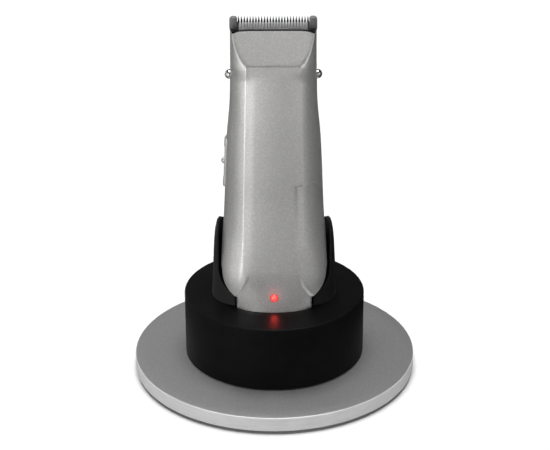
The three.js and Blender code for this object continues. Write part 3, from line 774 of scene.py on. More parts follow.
def blacken_rim_and_inside_as_shade(shell_half):
    """The rim's top faces and the inside faces get the black plastic: painted shade that draws a thin
    dark line along the top edge and darkens the inside.
    """
    shell_half.data.materials.append(materials["black_plastic"])
    for face in shell_half.data.polygons:
        x, y, z = face.center / MM
        faces_in = face.normal.x * x + face.normal.y * y < 0
        if faces_in or z > rim_height(x, y) - 0.05:
            face.material_index = 1


def inwards(row, i, inset, rise):
    """A point of a row moved in from its outline, and up. The seam's ends stay in the seam's plane."""
    x, y, z = row[i]
    count = len(row)
    before = row[max(i - 1, 0)]
    after = row[min(i + 1, count - 1)]
    along_x, along_y = after[0] - before[0], after[1] - before[1]
    length = math.hypot(along_x, along_y) or 1.0
    nx, ny = -along_y / length, along_x / length
    if i in (0, count - 1):
        nx, ny = -math.copysign(1, x), 0.0
    return (x + nx * inset, y + ny * inset, z + rise)


def make_front_housing():
    housing = shell("front_shell", front_outline)
    cuts = [cylinder("cut_light", LIGHT_RADIUS + 0.15, (0, -30, LIGHT_Z), (0, -10, LIGHT_Z))]
    cuts += catch_cuts()
    cuts.append(slot_cut())
    cut_out(housing, cuts, smooth_angle=40)
    finish_piece(housing, "trimmer", "silver_paint", "front_housing")
    # Painted shade: a black rim line and a dark inside.
    blacken_rim_and_inside_as_shade(housing)
    return housing


def make_rear_housing():
    housing = shell("rear_shell", rear_outline)
    cuts = catch_cuts()
    cuts.append(slot_cut())
    for node in HOUSING_SCREWS:
        x, _, z = middle_of(node)
        head_seat = mm_box(node)[1].y - 1.5
        cuts.append(cylinder("cut_screw", 2.1, (x, head_seat, z), (x, 40, z)))
    cut_out(housing, cuts, smooth_angle=40)
    finish_piece(housing, "trimmer", "silver_paint", "rear_housing")
    # Painted shade: a black rim line and a dark inside.
    blacken_rim_and_inside_as_shade(housing)


def catch_cuts():
    return [
        cylinder("cut_catch", CATCH_RADIUS + 0.2, (side * 11, 0, CATCH_Z), (side * 25, 0, CATCH_Z))
        for side in (-1, 1)
    ]


def slot_cut():
    """The slot that the switch's nub slides up in."""
    half = NUB_RADIUS + 0.25
    return block("cut_slot", (-30, -half, NUB_Z - half), (-12, half, NUB_Z + NUB_TRAVEL + half))


# ------------------------------------------------------------------ stand


def make_plate():
    low, high = plate_low.z, plate_high.z
    r = PLATE_RADIUS
    edge = 0.45
    profile = arc((r - 1.0, low + 1.0), 1.0, -90, 0, 6)
    profile += arc((r - edge, high - edge), edge, 0, 90, 6)
    profile += [(r * share, high) for share in (0.9, 0.75, 0.6)]
    plate = spun("stand_disc", "z", (0, 0, 0), profile, 256, 35)
    cuts = []
    for number in range(1, 5):
        foot_high = mm_box(f"rubber_foot_{number}")[1]
        x, y, _ = middle_of(f"rubber_foot_{number}")
        radius = foot_high.x - x + 0.3
        cuts.append(cylinder("cut_foot", radius, (x, y, -2), (x, y, foot_high.z + 0.3)))
    for number in range(1, 4):
        x, y, _ = middle_of(f"dock_screw_{number}")
        cuts.append(cylinder("cut_head", 3.1, (x, y, -2), (x, y, 3.6)))
        cuts.append(cylinder("cut_shank", 1.5, (x, y, 3), (x, y, 12)))
    cut_out(plate, cuts)
    finish_piece(plate, "stand", "plate_metal", "base_plate")
    plate.data.materials.append(rim_metal_painted_light())
    # The edge faces take the paler rim metal: painted light where the edge faces the lamps.
    for face in plate.data.polygons:
        if face.center.to_2d().length > (r - 0.2) * MM:
            face.material_index = 1


def foot_hole_radius(angle):
    """Distance from the axis to the edge of the hole that the trimmer's foot drops into."""
    direction = (math.cos(angle), math.sin(angle))
    half_width, front, rear, _ = station_at(30)
    gap = 0.35
    wide = half_width + gap
    deep = (front - 0.5 if direction[1] < 0 else rear) + gap
    power = FRONT_FULLNESS if direction[1] < 0 else REAR_FULLNESS
    plain = (abs(direction[0] / wide) ** power + abs(direction[1] / deep) ** power) ** (-1 / power)
    if abs(direction[0]) < 1e-6:
        return plain
    return soft_min(plain, (FOOT_HALF_WIDTH + gap) / abs(direction[0]), 1.2)


def make_drum():
    """The drum: an open-bottomed shell whose top has the foot's hole."""
    sides = 288
    low, high = drum_low.z, DRUM_TOP
    radius = DRUM_RADIUS
    inner_radius = radius - DRUM_WALL
    edge = 0.7
    outside = [(inner_radius, low), (radius - 0.3, low), (radius, low + 0.3)]
    outside += [(radius, low + (high - low) * f) for f in (0.3, 0.6, 0.9)]
    outside += arc((radius - edge, high - edge), edge, 0, 90, 8)
    rings = [[(r * math.cos(a), r * math.sin(a), z) for a in around(sides)] for r, z in outside]
    hole = [foot_hole_radius(a) for a in around(sides)]
    for share in (0.25, 0.5, 0.75):
        rings.append(blended_ring(hole, radius - edge, share, high, sides))
    for grow, drop in ((0.35, 0.0), (0.1, 0.1), (0.0, 0.35), (0.0, DRUM_WALL)):
        rings.append([
            ((hole[i] + grow) * math.cos(a), (hole[i] + grow) * math.sin(a), high - drop)
            for i, a in enumerate(around(sides))
        ])
    for share in (0.6, 0.2, 0.0):
        rings.append(blended_ring(hole, inner_radius, share, high - DRUM_WALL, sides))
    vertices = [p for ring in rings for p in ring]
    faces = grid_faces(len(rings), sides, True)
    last = (len(rings) - 1) * sides
    for i in range(sides):
        j = (i + 1) % sides
        faces.append((last + i, last + j, j, i))
    drum = make_object("drum_shell", vertices, faces)
    jack_z = middle_of("power_jack").z
    cut_out(drum, [cylinder("cut_jack", 3.6, (0, radius - 6, jack_z), (0, radius + 5, jack_z))])
    drum.visible_glossy = False
    return finish_piece(drum, "stand", "black_plastic", "dock_housing")


def blended_ring(hole, outer_radius, share, height, sides):
    """A ring part of the way from the outer circle to the hole's edge."""
    ring = []
    for i, angle in enumerate(around(sides)):
        radius = outer_radius + (hole[i] - outer_radius) * share
        ring.append((radius * math.cos(angle), radius * math.sin(angle), height))
    return ring


# ------------------------------------------------------------------ cradle

CRADLE_POWER = 2.8
CRADLE_FRONT = 16.5
CRADLE_REAR = cradle_high.y
CRADLE_HALF_WIDTH = cradle_high.x
CRADLE_TAPER = 0.05
CRADLE_REAR_TOP = 46.0
EAR_ROUND_START = 54.0
EAR_ROUND_WIDTH = 1.35
EAR_TOP = cradle_high.z
POCKET_GAP = 0.6
OPENING_HALF_WIDTH = SHOULDER_HALF_WIDTH + POCKET_GAP
SADDLE_EDGE = 0.15
# Height at which the edges of the cradle's front opening are placed.
OPENING_Z = 45.0


def cradle_outside(angle, z):
    """Outside of the cradle at an angle round the axis and a height."""
    t = min(max((z - EAR_ROUND_START) / (EAR_TOP - EAR_ROUND_START), 0.0), 1.0)
    ear_round = EAR_ROUND_WIDTH * (1 - math.sqrt(1 - t * t))
    wide = CRADLE_HALF_WIDTH - CRADLE_TAPER * (z - DRUM_TOP) - ear_round
    across, along = math.cos(angle), math.sin(angle)
    deep = CRADLE_FRONT if along < 0 else CRADLE_REAR
    x = wide * math.copysign(abs(across) ** (2 / CRADLE_POWER), across)
    y = deep * math.copysign(abs(along) ** (2 / CRADLE_POWER), along)
    return x, y


def saddle_half_width(z):
    """Half width of the pocket between the saddles that carry the trimmer's shoulders."""
    return min(shoulder_half_width(z + POCKET_GAP), SHOULDER_HALF_WIDTH) + POCKET_GAP


def pocket_inside(x, y, z):
    """Where the line from the axis to an outside point leaves the pocket."""
    outside = math.hypot(x, y)
    dx, dy = x / outside, y / outside
    radius = saddle_half_width(z) / max(abs(dx), 1e-6)
    if dy > 0:
        half_width, _, rear, _ = station_at(43)
        wide, deep = half_width + POCKET_GAP, rear + POCKET_GAP
        power = REAR_FULLNESS
        behind = (abs(dx / wide) ** power + abs(dy / deep) ** power) ** (-1 / power)
        radius = min(radius, behind)
    radius = min(radius, outside)
    return radius * dx, radius * dy


def cradle_top(angle):
    """Height of the cradle's edge: saddle edges in front, ears at the sides, a lower wall behind."""
    x, y = cradle_outside(angle, OPENING_Z)
    side = abs(x)
    if y < 0 and side < OPENING_HALF_WIDTH:
        low, high = DRUM_TOP, SHOULDER_TOP
        for _ in range(20):
            z = (low + high) / 2
            if saddle_half_width(z) + SADDLE_EDGE < abs(cradle_outside(angle, z)[0]):
                low = z
            else:
                high = z
        return z
    opening = OPENING_HALF_WIDTH / cradle_outside(0, OPENING_Z)[0]
    front_edge = -CRADLE_FRONT * (1 - opening**CRADLE_POWER) ** (1 / CRADLE_POWER)
    rising = min(max((y - front_edge) / 6.0, 0.0), 1.0)
    ear = EAR_TOP - (EAR_TOP - SHOULDER_TOP) * (1 - rising) ** 6 - 0.18 * max(y, 0.0)
    top = ear + (CRADLE_REAR_TOP - ear) * smooth_step(9.0, 18.0, y)
    while wall_thickness(angle, top) < 0.5:
        top -= 0.1
    return top


def wall_thickness(angle, z):
    outer = cradle_outside(angle, z)
    inner = pocket_inside(*outer, z)
    return math.hypot(outer[0] - inner[0], outer[1] - inner[1])


def cradle_angles():
    """Angles of the cradle's columns, from the window's right edge round the back to its left edge."""
    window = FOOT_HALF_WIDTH + POCKET_GAP
    low, high = -math.pi / 2, 0.0
    for _ in range(30):
        middle = (low + high) / 2
        if cradle_outside(middle, DRUM_TOP)[0] < window:
            low = middle
        else:
            high = middle
    start = high
    edge = -math.acos((OPENING_HALF_WIDTH / cradle_outside(0, OPENING_Z)[0]) ** (CRADLE_POWER / 2))
    right = [start + (edge - start) * i / 40 for i in range(40)]
    right += [edge + 0.2 * i / 40 for i in range(40)]
    right += [edge + 0.2 + (math.pi / 2 - edge - 0.2) * i / 90 for i in range(90)]
    left = [math.pi - a for a in reversed(right)]
    return [*right, math.pi / 2, *left]


def make_cradle():
    bottom = DRUM_TOP + 0.03
    edge = 0.35
    rows_up, rows_down = 26, 20
    columns = []
    for angle in cradle_angles():
        top = max(cradle_top(angle), bottom + edge + 0.4)
        outer_top = cradle_outside(angle, top)
        inner_top = pocket_inside(*outer_top, top)
        thickness = wall_thickness(angle, top)
        column = []
        for i in range(rows_up + 1):
            z = bottom + (top - edge - bottom) * i / rows_up
            column.append((*cradle_outside(angle, z), z))
        lower_inset, upper_inset = min(0.1, thickness / 5), min(edge, thickness / 2.2)
        for inset, drop in ((lower_inset, 0.1), (upper_inset, 0.0)):
            column.append(between(outer_top, inner_top, inset, top - drop))
        for inset, drop in ((upper_inset, 0.0), (lower_inset, 0.1)):
            column.append(between(inner_top, outer_top, inset, top - drop))
        for i in range(rows_down + 1):
            z = top - edge + (bottom - top + edge) * (i / rows_down)
            column.append((*pocket_inside(*cradle_outside(angle, z), z), z))
        columns.append(column)
    height = len(columns[0])
    vertices = [point for column in columns for point in column]
    cradle = make_object("cradle_shell", vertices, capped_faces(len(columns), height), 50)
    finish_piece(cradle, "stand", "black_plastic", "cradle")
    # The cradle takes the paler black copy, painted light on its edges.
    cradle.data.materials[0] = satin_black_painted_lighter


def between(start, end, distance, z):
    """A point a distance from one plan point towards another, at a height."""
    dx, dy = end[0] - start[0], end[1] - start[1]
    length = math.hypot(dx, dy) or 1.0
    return (start[0] + dx * distance / length, start[1] + dy * distance / length, z)


# ------------------------------------------------------------------ blades

LUG_WIDTH = 2.85
LUG_BOTTOM = 139.5
FIXED_TEETH = 25
MOVING_TEETH = 24
MOVING_PLATE_BOTTOM = 133.6
MOVING_TEETH_ROOT = 139.4
MOVING_WING = (6.0, 11.8)


def tooth(name, centre, root_width, tip_width, root, tip, front, rear):
    """One tooth: wedge shaped from the front, with a crowned front face."""
    vertices = []
    rows = ((root, root_width, 0.0), (tip - 0.5, tip_width, 0.0), (tip, tip_width * 0.55, 0.25))
    for z, width, set_back in rows:
        half = width / 2
        crown = front + set_back
        shoulder = crown + 0.22
        right = [(half * 0.45, crown), (half, shoulder), (half, rear)]
        left = [(-x, y) for x, y in reversed(right)]
        vertices += [(centre + x, y, z) for x, y in left + right]
    return make_object(name, vertices, capped_faces(3, 6), 20)


def join(objects, name):
    """Joins several objects into the first one."""
    for obj in bpy.context.view_layer.objects:
        obj.select_set(False)
    for obj in objects:
        obj.select_set(True)
    bpy.context.view_layer.objects.active = objects[0]
    bpy.ops.object.join()
    objects[0].name = name
    return objects[0]


def make_fixed_blade():
    half = fixed_high.x
    rear, front = fixed_high.y, fixed_high.y - 1.4
    tip = fixed_high.z - 0.3
    root = tip - 2.1
    inner = half - LUG_WIDTH
    plug_half = 13.7
    ledge = LUG_BOTTOM - 0.7
    right = [(plug_half, fixed_low.z), (plug_half, ledge), (half - 0.1, ledge), (half - 0.1, root)]
    left = [(-x, z) for x, z in reversed(right)]
    parts = [prism("fixed_blade_plate", [*right, *left], "y", front, rear)]
    pitch = 2 * inner / FIXED_TEETH
    for i in range(FIXED_TEETH):
        centre = -inner + pitch * (i + 0.5)
        parts.append(tooth("fixed_tooth", centre, pitch * 0.9, 0.3, root - 0.2, tip, front, rear - 0.02))
    for side in (-1, 1):
        outer_r, inner_r = 1.25, 1.0
        top = fixed_high.z
        outline = [(side * inner, LUG_BOTTOM)]
        outline += [(side * x, z) for x, z in arc((inner + inner_r, top - inner_r), inner_r, 180, 90)]
        outline += [(side * x, z) for x, z in arc((half - outer_r, top - outer_r), outer_r, 90, 0)]
        outline.append((side * half, LUG_BOTTOM))
        lug = prism("fixed_blade_lug", outline, "y", fixed_low.y, rear)
        soften_edges(lug, 0.2)
        parts.append(lug)
    blade = join(parts, "comb_blade")
    finish_piece(blade, "blade_set", "blade_steel", "fixed_blade")
    blade.data.materials[0] = tooth_steel_painted_shade
    blade.data.materials.append(lug_steel)
    # The teeth keep the near-black steel, painted shade; the lugs and the plate below the teeth take the
    # mid-grey lug steel.
    for face in blade.data.polygons:
        if abs(face.center.x) > inner * MM or face.center.z < (root - 0.1) * MM:
            face.material_index = 1


def make_moving_blade():
    half = moving_high.x
    front, rear = moving_low.y, moving_high.y
    tip, root = moving_high.z - 0.8, MOVING_TEETH_ROOT
    plate_bottom = MOVING_PLATE_BOTTOM
    parts = [block("moving_plate", (-half, front + 0.02, plate_bottom), (half, rear, root + 0.2))]
    for side in (-1, 1):
        left, right = sorted(side * x for x in MOVING_WING)
        wing_low, wing_high = (left, front + 0.02, moving_low.z), (right, rear, plate_bottom + 0.1)
        parts.append(block("moving_wing", wing_low, wing_high))
    pitch = 2 * half / MOVING_TEETH
    for i in range(MOVING_TEETH):
        centre = -half + pitch * (i + 0.5)
        wide, narrow = pitch * 0.88, pitch * 0.8
        parts.append(tooth("moving_tooth", centre, wide, narrow, root, tip, front, rear - 0.02))
    blade = join(parts, "cutter_blade")
    finish_piece(blade, "cutter", "blade_steel", "moving_blade")


HOLDER_OUTLINE_Z = 138.0
HOLDER_PLUG_TOP = 133.0
HOLDER_TOP_AT_AXIS = 141.5
HOLDER_TOP_TILT = 0.4


def make_holder():
    """The black carrier between housing and blades: a plug in the housing below a flat ledge."""
    front = holder_low.y
    bottom = holder_low.z
    housing = rear_outline(HOLDER_OUTLINE_Z)
    outline = [(x, y) for x, y in housing if y > front + 0.3]
    outline = [(housing[0][0], front), *outline, (housing[-1][0], front)]
    plain = [(x, y, 0.0) for x, y in outline]
    count = len(plain)

    def ring(inset, height_at):
        points = [inwards(plain, i, inset, 0.0) for i in range(count)]
        return [(x, y, height_at(y)) for x, y, _ in points]

    def seat(y):
        return RIM_AT_AXIS - RIM_TILT * y + 0.3

    def top(y):
        return HOLDER_TOP_AT_AXIS - HOLDER_TOP_TILT * y

    plug_inset = WALL + 0.4
    rows = [
        ring(plug_inset, lambda y: bottom),
        ring(plug_inset, lambda y: HOLDER_PLUG_TOP),
        ring(plug_inset, seat),
        ring(0.55, seat),
        ring(0.3, lambda y: seat(y) + 0.25),
        ring(0.3, lambda y: top(y) - 0.5),
        ring(0.42, lambda y: top(y) - 0.15),
        ring(0.8, top),
    ]
    vertices = [p for row in rows for p in row]
    holder = make_object("blade_carrier", vertices, capped_faces(len(rows), count, False), 40)
    cuts = []
    for node in BLADE_SCREWS:
        x, _, z = middle_of(node)
        head_seat = mm_box(node)[1].y - 1.2
        cuts.append(cylinder("cut_shank", 1.3, (x, -3, z), (x, 20, z)))
        cuts.append(cylinder("cut_head", 2.1, (x, head_seat, z), (x, 20, z)))
    cut_out(holder, cuts, smooth_angle=40)
    return finish_piece(holder, "blade_set", "black_plastic", "blade_holder")


# ------------------------------------------------------------------ small parts


CATCH_FLANGE_RADIUS = 2.6
CATCH_NECK_RADIUS = 1.2


def make_catch(name, side):
    """A round stud with a neck and a flange behind the wall."""
    low, high = mm_box(f"comb_catch_{name}")
    outer = max(abs(low.x), abs(high.x))
    inner = min(abs(low.x), abs(high.x))
    ball_x = outer - CATCH_RADIUS
    flange, neck = CATCH_FLANGE_RADIUS, CATCH_NECK_RADIUS
    profile = [(flange, inner), (flange, inner + 0.9), (neck, inner + 0.9), (neck, ball_x - 1.35)]
    profile += [(radius, along) for along, radius in arc((ball_x, 0), CATCH_RADIUS, 138, 4, 20)]
    profile = [(radius, side * along) for radius, along in profile]
    catch = spun(f"stud_{name}", "x", (0, 0, CATCH_Z), profile)
    finish_piece(catch, f"catch_{name}", "bright_stud", f"comb_catch_{name}")


def make_lens():
    front, radius, dome = lens_low.y, LIGHT_RADIUS, 1.0
    profile = [(radius, lens_high.y), (radius, front + dome)]
    for degrees in range(6, 88, 7):
        angle = math.radians(degrees)
        profile.append((radius * math.cos(angle), front + dome * (1 - math.sin(angle))))
    lens = spun("charge_light", "y", (0, 0, LIGHT_Z), profile, smooth_angle=60)
    finish_piece(lens, "trimmer", "red_lens", "light_lens")


RIB_HEIGHTS = (78.0, 79.6, 94.0, 95.6)
RIB_RISE = 0.24
RIB_HALF_WIDTH = 0.32


def make_switch_plate():
    """A thin plate that follows the left side, with grip ribs near its ends."""
    low_z, high_z = switch_low.z, switch_high.z
    half_depth = switch_high.y
    corner = 1.4
    rows, columns = 96, 20
    proud = 0.4
    outer, inner = [], []
    for i in range(rows + 1):
        z = low_z + (high_z - low_z) * i / rows
        end = min(z - low_z, high_z - z)
        narrowing = corner - math.sqrt(max(corner**2 - max(corner - end, 0) ** 2, 0))
        half_width, _, rear, _ = station_at(z)
        ribs = RIB_RISE * sum(math.exp(-(((z - rib) / RIB_HALF_WIDTH) ** 2)) for rib in RIB_HEIGHTS)
        for j in range(columns + 1):
            share = 2 * j / columns - 1
            y = share * (half_depth - narrowing)
            curve = half_width * (1 - (abs(y) / (rear if y > 0 else 19.0)) ** 2.3) ** (1 / 2.3)
            edge = min(end, (1 - abs(share)) * half_depth)
            rounding = proud * math.sqrt(min(max(edge / 0.35, 0.0), 1.0))
            outer.append((-(curve + 0.18 + rounding + ribs * smooth_step(0.2, 0.8, edge)), y, z))
            inner.append((-(curve + 0.02), y, z))
    width = columns + 1
    total = len(outer)
    faces = grid_faces(rows + 1, width, False)
    faces += [tuple(total + k for k in reversed(face)) for face in faces]
    border = list(range(width))
    border += [r * width + columns for r in range(1, rows + 1)]
    border += [rows * width + c for c in range(columns - 1, -1, -1)]
    border += [r * width for r in range(rows - 1, 0, -1)]
    for k, here in enumerate(border):
        following = border[(k + 1) % len(border)]
        faces.append((here, following, total + following, total + here))
    plate = make_object("switch_cover", outer + inner, faces, 50)
    cut_out(plate, [slot_cut()], smooth_angle=50)
    finish_piece(plate, "trimmer", "silver_paint", "switch_plate")



def make_switch_button():
    tip = nub_low.x + NUB_RADIUS
    profile = [(NUB_RADIUS - 0.2, -15.7), (NUB_RADIUS, -15.9)]
    profile += [(radius, tip - along) for along, radius in arc((0, 0), NUB_RADIUS, 90, 5, 14)]
    nub = spun("nub", "x", (0, 0, NUB_Z), profile)
    slider = block("slider", (-15.9, -2.6, nub_low.z), (nub_high.x, 2.6, nub_high.z))
    soften_edges(slider, 0.12)
    button = join([nub, slider], "switch_nub")
    finish_piece(button, "switch", "silver_paint", "switch_button")


def make_screw(node, body, axis, direction):
    """A screw with a domed, cross-slotted head, in place of a plain one."""
    low, high = mm_box(node)
    centre = middle_of(node)
    index = "xyz".index(axis)
    head_radius = (high.x - low.x) / 2
    head_height = 1.2 if axis == "y" else 1.5
    length = high[index] - low[index]
    profile = [(1.0, length), (1.0, head_height), (head_radius, head_height), (head_radius, 0.35)]
    profile += [(head_radius * 0.93, 0.12), (head_radius * 0.7, 0.0)]
    head_end = high[index] if direction > 0 else low[index]
    profile = [(radius, head_end - direction * depth) for radius, depth in profile]
    screw = spun(node + "_shaped", axis, centre, profile, 40)
    cuts = []
    long_half, short_half, depth = head_radius * 0.62, 0.28, 0.8
    for across, other in ((long_half, short_half), (short_half, long_half)):
        reach = Vector((across, other, other))
        start, end = centre - reach, centre + reach
        start[index], end[index] = sorted((head_end - direction * depth, head_end + direction))
        cuts.append(block("cut", start, end))
    cut_out(screw, cuts, smooth_angle=40)
    finish_piece(screw, body, "steel", node)


# ------------------------------------------------------------------ inner parts


def edge_rounded(radius, low, high, rounding=0.3):
    """Profile of a plain disc or rod with rounded rims."""
    return [*arc((radius - rounding, low + rounding), rounding, -90, 0, 4),
            *arc((radius - rounding, high - rounding), rounding, 0, 90, 4)]


def joint_of_spring(node, end_name):
    """The joint that presses a spring, and where along its axis the spring's fixed end stands."""
    for joint in frame["record"]["behaviour"]["joints"]:
        for spring in joint.get("deforming_nodes", []):
            if spring["node"] == node:
                return joint, spring[end_name]
    raise ValueError(node)


def make_coil(node, axis, turns, wire):
    """A wound spring in place of a plain tube: a wire led round a helix."""
    low, high = mm_box(node)
    centre = middle_of(node)
    index = "xyz".index(axis)
    across = [k for k in range(3) if k != index]
    radius = (high[across[0]] - low[across[0]]) / 2 - wire
    start, end = low[index] + wire, high[index] - wire
    per_turn, sides = 24, 8
    steps = turns * per_turn
    vertices = []
    for i in range(steps + 1):
        share = i / steps
        angle = 2 * math.pi * turns * share
        tight = smooth_step(0.0, 0.15, share) * (1 - smooth_step(0.85, 1.0, share))
        along = start + (end - start) * (share if tight > 0 else round(share))
        for side in around(sides):
            reach = radius + wire * math.cos(side)
            point = [0.0, 0.0, 0.0]
            point[index] = along + wire * math.sin(side)
            point[across[0]] = centre[across[0]] + reach * math.cos(angle)
            point[across[1]] = centre[across[1]] + reach * math.sin(angle)
            vertices.append(tuple(point))
    coil = make_object(node + "_coil", vertices, capped_faces(steps + 1, sides), 60)
    joint, fixed_end = joint_of_spring(node, f"fixed_end_{axis}_m")
    finish_piece(coil, joint["parent"], "steel", node)
    anchor = [value * MM for value in centre]
    anchor[index] = fixed_end
    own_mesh(coil)


def make_feet():
    for number in range(1, 5):
        node = f"rubber_foot_{number}"
        low, high = mm_box(node)
        centre = middle_of(node)
        radius = (high.x - low.x) / 2
        profile = [(radius - 2.2, low.z + 0.35), (radius - 1.9, low.z)]
        profile += edge_rounded(radius, low.z, high.z, 0.35)
        foot = spun(node + "_moulded", "z", (centre.x, centre.y, 0), profile, 72)
        finish_piece(foot, "stand", "foot_rubber", node)


def make_jack():
    height = middle_of("power_jack").z
    front, rear = jack_low.y, jack_high.y
    shoulder = DRUM_RADIUS - DRUM_WALL - 1
    nose, bore = 3.3, 2.8
    bore_end = front + 1.5
    profile = [(nose, shoulder - 0.2), (nose, rear - 0.3), (nose - 0.15, rear)]
    profile += [(bore + 0.15, rear), (bore, rear - 0.3), (bore, bore_end)]
    ring = spun("jack_nose", "y", (0, 0, height), profile, 48)
    corners = (jack_low.x, front, jack_low.z), (jack_high.x, shoulder, jack_high.z)
    body = block("jack_body", *corners)
    soften_edges(body, 0.4)
    cut_out(body, [cylinder("cut_bore", bore, (0, bore_end, height), (0, 50, height))])
    pin_profile = [(1.0, front + 1), (1.0, rear - 1.4), (0.6, rear - 1)]
    pin = spun("jack_pin", "y", (0, 0, height), pin_profile, 32)
    jack = join([body, ring, pin], "power_socket")
    finish_piece(jack, "stand", "black_plastic", "power_jack")


def make_contacts():
    for name in ("left", "right"):
        node = f"contact_pin_{name}"
        low, high = mm_box(node)
        x = middle_of(node).x
        flange_top = low.z + 0.6
        profile = [(1.1, low.z), (1.5, low.z), (1.6, low.z + 0.1), (1.6, flange_top - 0.1)]
        profile += [(1.5, flange_top), (1.1, flange_top), (1.1, high.z - 1.0)]
        profile += arc((0.0, high.z - 1.1), 1.1, 5, 85, 12)
        pin = spun(node + "_turned", "z", (x, 0, 0), profile, 40)
        finish_piece(pin, f"contact_{name}", "contact_gold", node)
        make_coil(f"contact_spring_{name}", "z", 6, 0.22)
        make_coil(f"catch_spring_{name}", "x", 5, 0.22)


def make_battery():
    low, high = mm_box("battery_cell")
    centre = middle_of("battery_cell")
    radius = (high.x - low.x) / 2
    shoulder = high.z - 1.0
    profile = edge_rounded(radius, low.z, shoulder, 0.5)
    profile += [(4.2, shoulder), (4.2, shoulder - 0.3), (2.7, shoulder - 0.3)]
    profile += [(2.6, high.z - 0.2), (2.4, high.z)]
    cell = spun("round_cell", "z", (centre.x, centre.y, 0), profile, 72)
    finish_piece(cell, "trimmer", "cell_wrap", "battery_cell")


def make_motor():
    low, high = mm_box("motor")
    centre = middle_of("motor")
    radius = (high.x - low.x) / 2
    half_depth = (high.y - low.y) / 2
    profile = [(1.3, high.z - 9), *edge_rounded(radius, low.z, high.z, 0.6)]
    profile += [(3.2, high.z), (3.2, high.z - 0.3), (1.3, high.z - 0.3)]
    can = spun("motor_can", "z", (centre.x, centre.y, 0), profile, 96)
    sides = []
    for sign in (-1, 1):
        near, far = sorted((centre.y + sign * half_depth, centre.y + sign * 30))
        sides.append(block("cut_flat", (-30, near, low.z - 5), (30, far, high.z + 5)))
    cut_out(can, sides)
    finish_piece(can, "trimmer", "steel", "motor")


def make_shaft():
    low, high = mm_box("motor_shaft")
    centre = middle_of("motor_shaft")
    shaft = spun("ground_shaft", "z", (0, centre.y, 0), edge_rounded(1.0, low.z, high.z, 0.15), 40)
    finish_piece(shaft, "rotor", "steel", "motor_shaft")


SOFTENED_NODES = (
    "battery_tab_bottom",
    "battery_tab_top",
    "charge_contact_left",
    "charge_contact_right",
    "circuit_board",
    "contact_block",
    "dock_board",
    "drive_fork",
    "motor_bracket",
    "switch_body",
)


def soften_cad_nodes():
    """The plain inner pieces keep their CAD shape and get small rounded edges."""
    for name in SOFTENED_NODES:
        add_bevel(frame["nodes"][name], 0.12, 50, 2).harden_normals = True


# ------------------------------------------------------------------ scene: camera, lights, floor


CAMERA_LENS = 110
CAMERA_PLACE = (0.0004, -0.5877, 0.328)
CAMERA_TURN_DEGREES = (65.5, 0.18, -0.08)


def make_camera():
    data = bpy.data.cameras.new("camera")
    data.lens = CAMERA_LENS
    data.sensor_width = 36
    camera = add_object("camera", data)
    camera.location = CAMERA_PLACE
    camera.rotation_euler = [math.radians(degrees) for degrees in CAMERA_TURN_DEGREES]
    bpy.context.scene.camera = camera


def make_rear_light():
    """A small lamp behind the left shoulder."""
    data = bpy.data.lights.new("rear_left", "AREA")
    data.shape = "RECTANGLE"
    data.size, data.size_y = 0.16, 0.12
    data.energy = 0.045
    light = add_object("rear_left", data)
    light.location = (-0.24, 0.2, 0.16)
    towards = Vector((-0.03, 0, 0)) - light.location
    light.rotation_euler = towards.to_track_quat("-Z", "Y").to_euler()


GLOW_RED = (1.0, 0.06, 0.05)


def make_glow(name, ahead, below, size, power, lit_piece):
    """Red light that the charging light throws on one piece. It moves with the trimmer."""
    data = bpy.data.lights.new(name, "POINT")
    data.energy = power
    data.color = GLOW_RED
    data.shadow_soft_size = size * MM
    glow = add_object(name, data)
    glow.location = (0.0, (lens_low.y - ahead) * MM, (LIGHT_Z - below) * MM)
    receivers = bpy.data.collections.new(name + "_receivers")
    receivers.objects.link(lit_piece)
    glow.light_linking.receiver_collection = receivers
    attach(glow, "trimmer")


def make_floor():
    size = 4000
    corners = [(-size, -size, 0), (size, -size, 0), (size, size, 0), (-size, size, 0)]
    floor = make_object("floor", corners, [(0, 1, 2, 3)])
    finish = Finish("pale_floor")
    finish.set(base_color=(0.9, 0.9, 0.9, 1), roughness=0.9)
    floor.data.materials.append(finish.material)
    floor.visible_glossy = False


# Brightness of the studio round the object, by degrees from the front. Left is positive.
STUDIO_RING = [
    (-180, 0.05), (-120, 0.07), (-85, 0.16), (-50, 0.42), (-32, 0.46), (-18, 0.58), (-8, 0.4), (0, 0.46),
    (10, 0.86), (20, 1.2), (31, 1.35), (44, 1.35), (75, 1.0), (105, 0.5), (150, 0.25), (180, 0.2),
]
# A narrow lamp low on the left.
STUDIO_LAMP = [(27, 0.0), (31, 11.0), (35, 0.0)]
# The band of lamps above level.
STUDIO_UPPER = [
    (-180, 0.0), (-90, 0.04), (-60, 0.8), (-42, 1.5), (-27, 0.6), (-14, 0.05),
    (14, 0.05), (27, 0.8), (42, 1.7), (60, 0.9), (90, 0.4), (180, 0.3),
]
# Share of the ring's brightness by height, from straight down (0) towards level (0.5).
STUDIO_LOW = [(0.0, 0.15), (0.18, 0.3), (0.25, 0.5), (0.3, 0.4), (0.35, 0.48), (0.4, 0.95)]
# Brightness above the upper band, and of the ceiling straight above.
STUDIO_HIGH = 0.05
STUDIO_CEILING = 7.2


